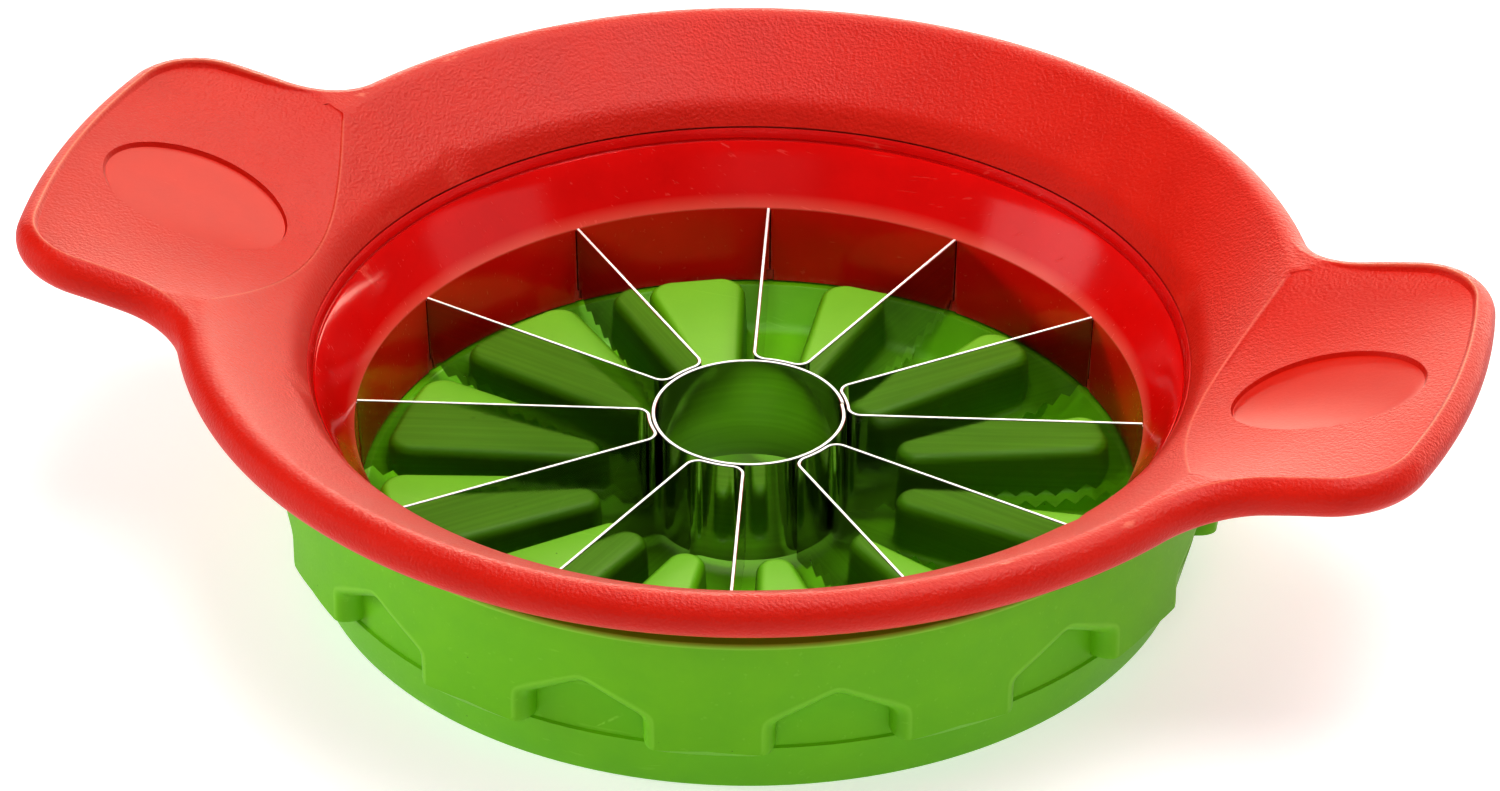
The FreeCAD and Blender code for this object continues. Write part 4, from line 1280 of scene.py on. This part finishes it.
# ---------------------------------------------------------------- blades
@dataclass
class BladeSet:
    """Strips bent round the core ring, each one two serrated blades."""

    thickness: float = 0.5
    bend: float = 1.8
    core_radius: float = 13.0
    tooth_pitch: float = 2.5
    tooth_depth: float = 1.2
    heel_depth: float = 15.0
    belly_depth: float = 13.9
    belly_radius: float = 41.0
    tip_depth: float = 11.0
    tongue_depth: float = 9.8
    tongue_drop: float = 0.4
    hook_bend: float = 0.8
    hook_length: float = 3.0
    hook_line: float = 55.55
    grind: float = 1.9
    plain_grind: float = 0.12
    cutting_edge: float = 0.05
    edge_round: float = 0.09

    @property
    def teeth(self) -> tuple[float, float, int]:
        """Radii where the teeth start and end, and their number."""
        start = self.core_radius + self.thickness + 2 * self.bend
        end = HEAD.cut_radius - HEAD.wall_draft - HEAD.play
        return start, end, int((end - start) / self.tooth_pitch)

    def arm(self) -> tuple[np.ndarray, np.ndarray]:
        """Centre line of half a strip.

        Returns:
            Points from the strip's middle to the end of its hook, and their normals.
        """
        step = math.pi / HEAD.wedges
        ray = spoke(step)
        away = np.array([-ray[1], ray[0]])
        core = self.core_radius + HEAD.play + self.thickness / 2
        reach = core + self.bend
        turn = step - math.asin(self.bend / reach)
        toward = spoke(turn)
        bend_centre = toward * reach
        hook_centre = ray * (self.hook_line - self.hook_bend) + away * self.hook_bend
        points, normals = [], []
        for share in np.linspace(0, 1, 9)[:-1]:
            normals.append(spoke(turn * share))
            points.append(normals[-1] * core)
        start_turn = math.atan2(-toward[1], -toward[0])
        sweep = (math.atan2(away[1], away[0]) - start_turn + math.pi) % math.tau - math.pi
        for share in np.linspace(0, 1, 13):
            outward = spoke(start_turn + sweep * share)
            points.append(bend_centre + outward * self.bend)
            normals.append(-outward)
        first, tip, count = self.teeth
        steps = (tip - first) / count / 4
        wall = HEAD.cut_radius - HEAD.play
        along = [*(first + steps * np.arange(count * 4 + 1)), tip + 0.02, wall, wall + 0.02]
        points += [ray * radius for radius in along] + [hook_centre - away * self.hook_bend]
        normals += [-away] * (len(along) + 1)
        for share in np.linspace(0, 1, 7)[1:]:
            outward = spoke(math.atan2(-away[1], -away[0]) + share * math.pi / 2)
            points.append(hook_centre + outward * self.hook_bend)
            normals.append(outward)
        points.append(points[-1] + away * self.hook_length)
        normals.append(ray)
        return np.array(points), np.array(normals)

    def edge_height(self, radius: np.ndarray) -> np.ndarray:
        """Height of the lower edge at a distance from the axis, teeth included."""
        inner = (radius - self.core_radius) / (self.belly_radius - self.core_radius)
        outer = (radius - self.belly_radius) / (HEAD.cut_radius - self.belly_radius)
        depth = np.where(radius < self.belly_radius,
                         self.heel_depth + (self.belly_depth - self.heel_depth) * inner,
                         self.belly_depth + (self.tip_depth - self.belly_depth) * outer)
        start, end, count = self.teeth
        phase = ((radius - start) / ((end - start) / count)) % 1.0
        tooth = self.tooth_depth * (1 - np.abs(2 * phase - 1))
        depth = np.where(radius > start, depth - tooth, self.heel_depth)
        return HEAD.blade_top - np.where(radius > end + 0.01, self.tongue_depth, depth)

    def strip(self) -> bpy.types.Mesh:
        """Builds one strip whose two blades lie at equal angles about +X."""
        arm, arm_normal = self.arm()
        mirror = np.array([1.0, -1.0])
        points = np.concatenate([arm[:0:-1] * mirror, arm])
        normals = np.concatenate([arm_normal[:0:-1] * mirror, arm_normal])
        length = np.concatenate([[0], np.cumsum(np.linalg.norm(np.diff(points, axis=0), axis=1))])
        radius = np.hypot(points[:, 0], points[:, 1])
        low = self.edge_height(radius)
        top = np.where(radius > HEAD.cut_radius - HEAD.play + 0.01, HEAD.blade_top - self.tongue_drop, HEAD.blade_top)
        half, bevel = self.thickness / 2, self.edge_round
        ground = (radius < HEAD.cut_radius - HEAD.wall_draft) & (radius > self.core_radius + 2 * self.bend)
        grind = np.where(ground, self.grind, self.plain_grind)
        thin = np.where(ground, self.cutting_edge, half - self.cutting_edge)
        middle = (low + top) / 2
        # The last number of each row paints the pale edge highlight, full on the top edge and partly on the cutting
        # edge.
        section = [(-thin, low, 0.4), (-half, low + grind, 0.25), (-half, low + grind + 0.1, 0.0), (-half, middle, 0.0),
                   (-half, top - bevel, 0.0), (bevel - half, top, 1.0), (half - bevel, top, 1.0),
                   (half, top - bevel, 0.0), (half, middle, 0.0), (half, low + 0.1, 0.0), (half, low, 0.2)]
        rows, runs, shine = [], [], []
        for offset, height, polish in section:
            rows.append(raised(points + normals * np.broadcast_to(offset, len(points))[:, None], height))
            runs.append(np.column_stack([length, height, np.zeros_like(height)]))
            shine.append(np.full(len(points), polish))
        shell = Shell()
        grid = np.array(rows)
        shell.add_grid(grid, closed=True, polish=np.array(shine), run=np.array(runs))
        shell.add_loop_face(grid[:, 0])
        shell.add_loop_face(grid[::-1, -1])
        return shell.mesh("blade_strip", weld=0.001, sharp=25.0)

    def dress(self, pattern: PolarPattern, material: bpy.types.Material) -> None:
        """Repeats the strip and settles the piece."""
        count = HEAD.wedges // 2
        turn = 360.0 / HEAD.wedges
        piece = pattern.repeat("blade_strips", self.strip(), count, turn, material, weld=0.001, sharp=25.0)
        settle(piece, Body.SLICER, Slot.BLADE_STEEL, *["blade_strip_%d" % (index + 1) for index in range(count)])


@dataclass
class CoreRing:
    """Rolled steel tube with an open seam."""

    radius: float = 13.0
    thickness: float = 0.55
    height: float = 15.2
    seam: float = 0.3
    seam_turn: float = 27.5
    seam_step: float = 0.16
    seam_run: float = 0.35
    grind: float = 1.2
    edge_round: float = 0.1
    stations: int = 145

    def build(self) -> bpy.types.Mesh:
        """Builds the tube."""
        top, low = HEAD.blade_top, HEAD.blade_top - self.height
        bore, soft = self.radius - self.thickness, self.edge_round
        line = [(bore + soft, top), (bore, top - soft), (bore, (top + low) / 2), (bore, low + self.grind),
                (self.radius - 0.12, low), (self.radius, low + soft), (self.radius, (top + low) / 2),
                (self.radius, top - soft), (self.radius - soft, top)]
        half = self.seam / 2 / self.radius
        angles = np.linspace(half, math.tau - half, self.stations)
        grid = ring(line, angles + math.radians(self.seam_turn))
        step = self.seam_step * smooth_step(angles, math.tau - self.seam_run, math.tau)
        grid[..., :2] *= 1 - step[None, :, None] / self.radius
        runs = np.stack([np.broadcast_to(angles * self.radius, grid.shape[:2]), grid[..., 2],
                         np.zeros(grid.shape[:2])], axis=-1)
        shell = Shell()
        shine = np.zeros(grid.shape[:2])
        # Painted highlight: pale rows painted on the tube's top edge.
        shine[[0, -1]] = 1.0
        shell.add_grid(grid, closed=True, polish=shine, run=runs)
        shell.add_loop_face(grid[:, 0])
        shell.add_loop_face(grid[::-1, -1])
        return shell.mesh("core_tube", sharp=25.0)

    def dress(self, material: bpy.types.Material) -> None:
        """Builds the piece and settles it."""
        piece = new_piece("core_tube", self.build(), material)
        settle(piece, Body.SLICER, Slot.BLADE_STEEL, "core_ring")


# ---------------------------------------------------------------- base cup
@dataclass
class BaseCup:
    """Base with notched band, ledge, floor and hollow lugs, made as one sector for each lug."""

    bore: float = 59.2
    wall: float = 4.0
    height: float = 25.1
    lip_round: float = 0.6
    ledge: float = 7.3
    ledge_radius: float = 51.2
    foot_radius: float = 58.5
    foot_top: float = 7.6
    skirt_drop: float = 0.25
    band_step: float = 2.9
    band_sink: float = 0.35
    foot_wall: float = 1.9
    floor: float = 2.6
    floor_thickness: float = 1.7
    cove: float = 3.5
    notch_half: float = 7.4
    notch_flare: float = 1.9
    notch_eaves: float = 4.8
    notch_apex: float = 8.7
    notch_corner: float = 1.3
    notch_lead: float = 1.3
    band_round: float = 0.9
    lug_top: float = 10.0
    lug_start: float = 20.8
    lug_end: float = 49.3
    lug_tip_half: float = 2.2
    lug_end_half: float = 7.3
    lug_corner: float = 3.4
    lug_round: float = 1.4
    lug_draft: float = 0.4
    lug_wall: float = 1.8
    # Painted sheen: how much paler green is painted on the lug tops.
    lug_top_sheen: float = 0.5
    turn: float = -3.0
    half_sector: float = 180.0 / HEAD.wedges
    ledge_round: float = 0.4
    foot_round: float = 0.3
    spacing: tuple[float, float] = (7.0, 3.5)
    lug_rows: tuple[float, float] = (5.0, 7.0)
    # Painted highlight on the rounded top edge of each lug.
    lug_edge_highlight: tuple[float, float] = (0.15, 0.5)
    # Painted highlight: strength of the pale line on the lip's outer rounding.
    lip_highlight: float = 0.8
    # Painted highlight: pale lines along the notch's outer brink.
    notch_highlight: tuple[float, float] = (0.15, 0.3)
    notch_ridge: float = 0.8
    notch_soft: float = 0.22
    notch_levels: tuple[float, ...] = (0.0, 0.01, 0.04, 0.09, 0.16, 0.25, 0.36, 0.5, 0.66, 0.83, 1.0)
    floor_shares: tuple[float, ...] = (0.0, 0.3, 0.6, 0.85)
    band_shares: tuple[float, ...] = (0.04, 0.12, 0.25, 0.4, 0.6, 0.8, 1.0)
    side_stations: int = 15
    edge_stations: int = 31
    lug_cove: float = 0.7
    lug_tip_round: float = 0.95

    @property
    def outer(self) -> float:
        """Outside radius of the band."""
        return self.bore + self.wall

    @property
    def skirt_top(self) -> float:
        """Height of the foot's upper edge, just under the band."""
        return self.foot_top - self.skirt_drop

    def notch_level(self, u: np.ndarray, v: np.ndarray) -> np.ndarray:
        """Level of the notch's sloping side at a place of the unrolled band.

        Args:
            u: places along the band from the notch's middle.
            v: heights above the band's lower edge.

        Returns:
            0 at the notch floor's outline, 1 at the band's surface.
        """
        flat = np.sqrt(u**2 + self.notch_ridge**2) - 0.25
        corner = self.notch_corner
        lift = np.clip((corner - v) / corner, 0.0, 1.0)
        flare = corner * (1 - np.sqrt(1 - lift**2))
        side = (flat - self.notch_half - flare) / self.notch_flare

        def roof(level: float) -> np.ndarray:
            """Height of the roof line at a level."""
            apex = self.notch_apex + self.notch_flare * level
            eaves = self.notch_eaves + self.notch_flare / 2 * level
            return apex - (apex - eaves) * flat / (self.notch_half + self.notch_flare * level)

        top = (v - roof(0.0)) / np.maximum(roof(1.0) - roof(0.0), 0.5)
        return self.notch_soft * np.logaddexp(side / self.notch_soft, top / self.notch_soft) - 0.05

    def band_radius(self, u: np.ndarray, v: np.ndarray) -> np.ndarray:
        """Radius of the band's surface at a place of the unrolled band."""
        level = np.clip(self.notch_level(u, v), 0.0, 1.0)
        ease = np.sqrt(1 - (1 - level) ** 2)
        lift = np.clip((self.band_round - v) / self.band_round, 0.0, 1.0)
        under = self.band_round * (1 - np.sqrt(1 - lift**2))
        depth = self.band_step + self.band_sink
        return self.outer - depth + (depth - under) * ease

    def band(self, shell: Shell) -> tuple[np.ndarray, np.ndarray]:
        """Adds the notched band.

        Args:
            shell: shell that gets it.

        Returns:
            Angles of the stations along its upper edge and along its lower edge.
        """
        half = math.radians(self.half_sector) * self.outer
        top = self.height - self.lip_round - self.foot_top
        side, edge = self.side_stations, self.edge_stations
        rising = np.linspace(0, top, side)
        across = np.concatenate([rising[:-1], np.full(edge, top), np.linspace(top, 0, side)[1:]])
        along = np.concatenate([np.full(side - 1, half), np.linspace(half, -half, edge), np.full(side - 1, -half)])
        border = np.column_stack([along, across])
        reach = np.linalg.norm(border, axis=1)
        rays = border / reach[:, None]

        def contour(level: float) -> np.ndarray:
            """Distance along each ray at which the notch's side has a level."""
            return bisect(lambda far: self.notch_level(far * rays[:, 0], far * rays[:, 1]) < level,
                          np.zeros(len(rays)), reach, 40)

        floor, surface = contour(0.0), contour(1.0)
        distances = [floor * share for share in self.floor_shares]
        distances += [contour(level) for level in self.notch_levels]
        distances += [surface + (reach - surface) * share for share in self.band_shares]
        grid = []
        for distance in distances:
            u, v = distance * rays[:, 0], distance * rays[:, 1]
            plan = spokes(u / self.outer) * self.band_radius(u, v)[:, None]
            grid.append(raised(plan, v + self.foot_top))
        # Painted highlight on the two rows at the notch's brink.
        worn = np.zeros((len(distances), len(rays)))
        brink = len(self.floor_shares) + len(self.notch_levels) - 1
        worn[brink - 1] = self.notch_highlight[0]
        worn[brink, 2:-2] = self.notch_highlight[1]
        shell.add_grid(np.array(grid), worn=worn)
        upper = along[side - 1:side - 1 + edge] / self.outer
        ends = np.array([distance[0] for distance in distances])
        lower = np.concatenate([-ends[::-1], ends[1:]])
        brim = self.band_radius(lower, np.zeros_like(lower))[:, None]
        lower = lower / self.outer
        shell.add_grid(np.stack([raised(spokes(lower) * brim, self.foot_top),
                                 raised(spokes(lower) * (self.outer - self.band_step), self.skirt_top)]))
        return upper, lower

    def lug_plan(self, move: float) -> np.ndarray:
        """Plan loop of the sector's lug, moved outward by an amount."""
        slope = (self.lug_end_half - self.lug_tip_half) / (self.lug_end - self.lug_start)
        lean = math.atan(slope)
        start_half = self.lug_tip_half - slope * move + move / math.cos(lean)
        end_half = self.lug_end_half + slope * move + move / math.cos(lean)
        tip = self.lug_tip_round * start_half / math.tan(math.pi / 4 - lean / 2)
        start, end, corner = self.lug_start - move, self.lug_end + move, max(self.lug_corner + move, 0.3)
        corners = [(start, -start_half, tip), (end, -end_half, corner), (end, end_half, corner),
                   (start, start_half, tip)]
        back = math.radians(-self.notch_lead)
        spin = np.array([[math.cos(back), math.sin(back)], [-math.sin(back), math.cos(back)]])
        return rounded(corners, steps=9) @ spin

    def lug(self, shell: Shell) -> None:
        """Adds the lug with its rounded top edge and its foot's small cove."""
        span = self.lug_top - self.floor + self.floor_thickness / 2

        def draft(height: float) -> float:
            """Growth of the lug at a height."""
            return self.lug_draft * (self.lug_top - height) / span

        cove = self.lug_cove
        levels = [(self.floor - 0.3, draft(self.floor) + cove)]
        for turn in (0, 25, 50, 70, 90):
            angle = math.radians(turn)
            height = self.floor + cove * (1 - math.cos(angle))
            levels.append((height, draft(height) + cove * (1 - math.sin(angle))))
        levels += [(height, draft(height)) for height in self.lug_rows]
        start = self.lug_top - self.lug_round
        for turn in range(0, 91, 15):
            angle = math.radians(turn)
            levels.append((start + self.lug_round * math.sin(angle),
                           draft(start) - self.lug_round * (1 - math.cos(angle))))
        rows = [raised(self.lug_plan(move), height) for height, move in levels]
        # Painted sheen and highlight: paler green on the lug's top edge rows and flat top.
        worn = np.zeros((len(rows), len(rows[0])))
        worn[-3:] = [[share] for share in (*self.lug_edge_highlight, self.lug_top_sheen)]
        shell.add_grid(np.array(rows), around=True, worn=worn)
        shell.add_loop_face(rows[-1], self.lug_top_sheen)

    def under(self, shell: Shell, angles: np.ndarray, rim: float) -> None:
        """Adds the floor's underside with the hollow of the lug.

        Args:
            shell: shell that gets it.
            angles: directions of the stations.
            rim: radius at which the patch ends.
        """
        low = self.floor - self.floor_thickness
        plan = self.lug_plan(self.lug_draft - self.lug_wall)
        edge = np.linspace(0, rim, 9)[1:-1]
        side = spoke(math.radians(self.half_sector))
        arc = (spokes(angles) * rim)[np.argsort(angles)]
        loop = np.concatenate([np.zeros((1, 2)), edge[:, None] * side * [1, -1], arc, edge[::-1, None] * side])
        plane, triangles = fill(loop, [plan])
        shell.add_triangles(raised(plane, low), triangles)
        top = self.lug_top - self.lug_wall
        rows = [raised(self.lug_plan(move - self.lug_wall), height)
                for height, move in ((low, self.lug_draft), (low + 3, 0.25), (top - 0.6, 0.05), (top, -0.5))]
        shell.add_grid(np.array(rows), around=True)
        shell.add_loop_face(rows[-1])

    def sector(self) -> bpy.types.Mesh:
        """Builds the sector about one lug and one notch."""
        shell = Shell()
        upper, lower = self.band(shell)
        slope = self.ledge - self.floor
        inner = [(0.0, self.floor, 0), (self.ledge_radius - slope, self.floor, self.cove),
                 (self.ledge_radius, self.ledge, self.lip_round), (self.bore, self.ledge, self.ledge_round),
                 (self.bore, self.height, self.lip_round), (self.outer, self.height, self.lip_round),
                 (self.outer, self.foot_top, 0)]
        line = rounded(inner, spacing=self.spacing[0], closed=False)
        last = np.argmax((line[:, 0] > self.outer - 1e-6) & (line[:, 1] < self.height - self.lip_round + 1e-6))
        line = line[:last + 1]
        # Painted highlight on the lip's outer rounding.
        lip = (line[:, 0] > self.outer - self.lip_round) & (line[:, 1] > self.height - self.lip_round)
        shell.add_grid(ring(line, upper), worn=np.repeat(self.lip_highlight * lip, len(upper)))
        self.lug(shell)
        foot = self.outer - self.band_step
        ledge_under = self.ledge - self.floor_thickness
        miter = self.floor_thickness * math.tan(math.pi / 8)
        low = self.floor - self.floor_thickness
        rim = self.ledge_radius - slope + miter
        outside = [(foot, self.skirt_top, 0), (self.foot_radius, 0.0, self.lip_round),
                   (self.foot_radius - self.foot_wall, 0.0, self.foot_round),
                   (foot - 2 * self.foot_wall, ledge_under, self.ledge_round),
                   (self.ledge_radius + miter, ledge_under, self.ledge_round), (rim, low, 0)]
        line = rounded(outside, steps=5, spacing=self.spacing[1], closed=False)
        shell.add_grid(ring(line, lower))
        self.under(shell, lower, rim)
        return shell.mesh("cup_sector")

    def dress(self, pattern: PolarPattern, material: bpy.types.Material) -> None:
        """Repeats the sector and settles the piece."""
        piece = pattern.repeat("cup_body", self.sector(), HEAD.wedges, self.turn + self.notch_lead, material)
        settle(piece, Body.BASE, Slot.GREEN_PLASTIC, "base_cup")


# ---------------------------------------------------------------- studio
@dataclass(frozen=True)
class SoftBox:
    """Rectangular lamp.

    Places and sizes are in metres and power in watts.  Gloss says whether it shows in reflections, and tint whether
    it lights matt colour.
    """

    name: str
    place: Triple
    size: tuple[float, float]
    power: float
    aim: Triple = (0, 0, 0.02)
    gloss: bool = True
    tint: bool = True
    colour: Colour = (1, 1, 1)

    def build(self) -> None:
        """Hangs the lamp."""
        data = bpy.data.lights.new(self.name, "AREA")
        data.shape = "RECTANGLE"
        data.size, data.size_y = self.size
        data.energy = self.power
        data.color = self.colour
        lamp = bpy.data.objects.new(self.name, data)
        lamp.visible_glossy, lamp.visible_diffuse = self.gloss, self.tint
        lamp.location = self.place
        lamp.rotation_euler = (Vector(self.aim) - Vector(self.place)).to_track_quat("-Z", "Y").to_euler()
        bpy.context.scene.collection.objects.link(lamp)


WARM = (1.0, 0.91, 0.76)
LAMPS = (
    SoftBox("top", (0.2, 0.1, 1.15), (0.8, 0.8), 13.7),
    SoftBox("veil", (0.05, 0.85, 1.0), (1.2, 0.9), 17.0, tint=False, colour=WARM),
    SoftBox("back", (0.05, 1.4, 0.2), (3.0, 0.34), 34.0, aim=(0, 0, 0.03), tint=False, colour=WARM),
    SoftBox("left", (-1.25, -0.45, 0.4), (0.8, 0.6), 4.0),
    SoftBox("right", (1.3, 0.14, 0.45), (0.8, 0.7), 2.0),
    SoftBox("front", (0.3, -1.25, 0.75), (0.6, 0.6), 5.5, gloss=False),
    SoftBox("key", (-1.25, -0.3, 0.5), (0.3, 0.3), 6.0, gloss=False),
)


@dataclass
class Studio:
    """Pale floor, soft lights and camera.  The target and the distance are in millimetres."""

    target: Triple = (-1.061, 3.779, 19.2)
    distance: float = 907.528
    elevation: float = 32.815
    azimuth: float = 17.957
    roll: float = 0.103
    lens: float = 162.84
    sensor: float = 36.0
    clip: tuple[float, float] = (0.05, 20.0)
    gamma: float = 0.8
    world: float = 0.12
    floor_half: float = 6.0
    floor_tones: tuple[Colour, Colour] = ((0.60, 0.60, 0.60), (0.63, 0.63, 0.63))
    floor_clouds: float = 3.0
    floor_roughness: float = 0.6
    floor_glow: float = 0.58

    def camera(self) -> None:
        """Places the camera."""
        data = bpy.data.cameras.new("camera")
        data.sensor_fit = "HORIZONTAL"
        data.sensor_width = self.sensor
        data.lens = self.lens
        data.clip_start, data.clip_end = self.clip
        az, el, roll = (math.radians(value) for value in (self.azimuth, self.elevation, self.roll))
        right = Vector((math.cos(az), math.sin(az), 0))
        back = Vector((math.sin(az) * math.cos(el), -math.cos(az) * math.cos(el), math.sin(el)))
        up = back.cross(right)
        right, up = right * math.cos(roll) + up * math.sin(roll), up * math.cos(roll) - right * math.sin(roll)
        turn = Matrix((right, up, back)).transposed().to_4x4()
        place = (Vector(self.target) + back * self.distance) * MM
        camera = bpy.data.objects.new("camera", data)
        camera.matrix_world = Matrix.Translation(place) @ turn
        bpy.context.scene.collection.objects.link(camera)
        bpy.context.scene.camera = camera

    def floor(self) -> None:
        """Adds the pale floor."""
        size = self.floor_half
        mesh = bpy.data.meshes.new("floor")
        corners = [(-size, -size, 0), (size, -size, 0), (size, size, 0), (-size, size, 0)]
        mesh.from_pydata(corners, [], [(0, 1, 2, 3)])
        material, bench = blank_material("pale_floor")
        cloud = bench.noise(bench.place(), self.floor_clouds, 3.0)
        shader = bench.add("ShaderNodeBsdfPrincipled", {
            "Base Color": bench.mix(cloud, *self.floor_tones), "Roughness": self.floor_roughness,
            "Emission Color": (1, 1, 1, 1), "Emission Strength": self.floor_glow})
        bench.add("ShaderNodeOutputMaterial", {"Surface": shader.outputs[0]})
        new_piece("floor", mesh, material)

    def build(self) -> None:
        """Sets up floor, lights, world and camera."""
        self.floor()
        self.camera()
        world = bpy.data.worlds.new("studio")
        world.use_nodes = True
        background = world.node_tree.nodes["Background"]
        background.inputs["Color"].default_value = (1, 1, 1, 1)
        background.inputs["Strength"].default_value = self.world
        bpy.context.scene.world = world
        for lamp in LAMPS:
            lamp.build()
        settings = bpy.context.scene.view_settings
        settings.view_transform = "Standard"
        settings.look = "None"
        settings.gamma = self.gamma


def main() -> None:
    """Builds and dresses every piece, then sets up the studio."""
    logging.basicConfig(level=logging.INFO, format="%(name)s %(message)s")
    effects = Effects()
    pattern = PolarPattern()
    gloss = RED_GLOSS.material(effects)
    HandleFrame().dress(RED_TEXTURED.material(effects))
    BladeCarrier().dress(pattern, gloss)
    BladeSet().dress(pattern, STRIP_STEEL.material(effects))
    CoreRing().dress(TUBE_STEEL.material(effects))
    BaseCup().dress(pattern, GREEN_SATIN.material(effects))
    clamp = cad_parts["clamp_ring"]
    clamp.data.materials.clear()
    clamp.data.materials.append(gloss)
    LOG.info("clamp_ring: dressed as it is")
    Studio().build()


if __name__ == "__main__":
    main()
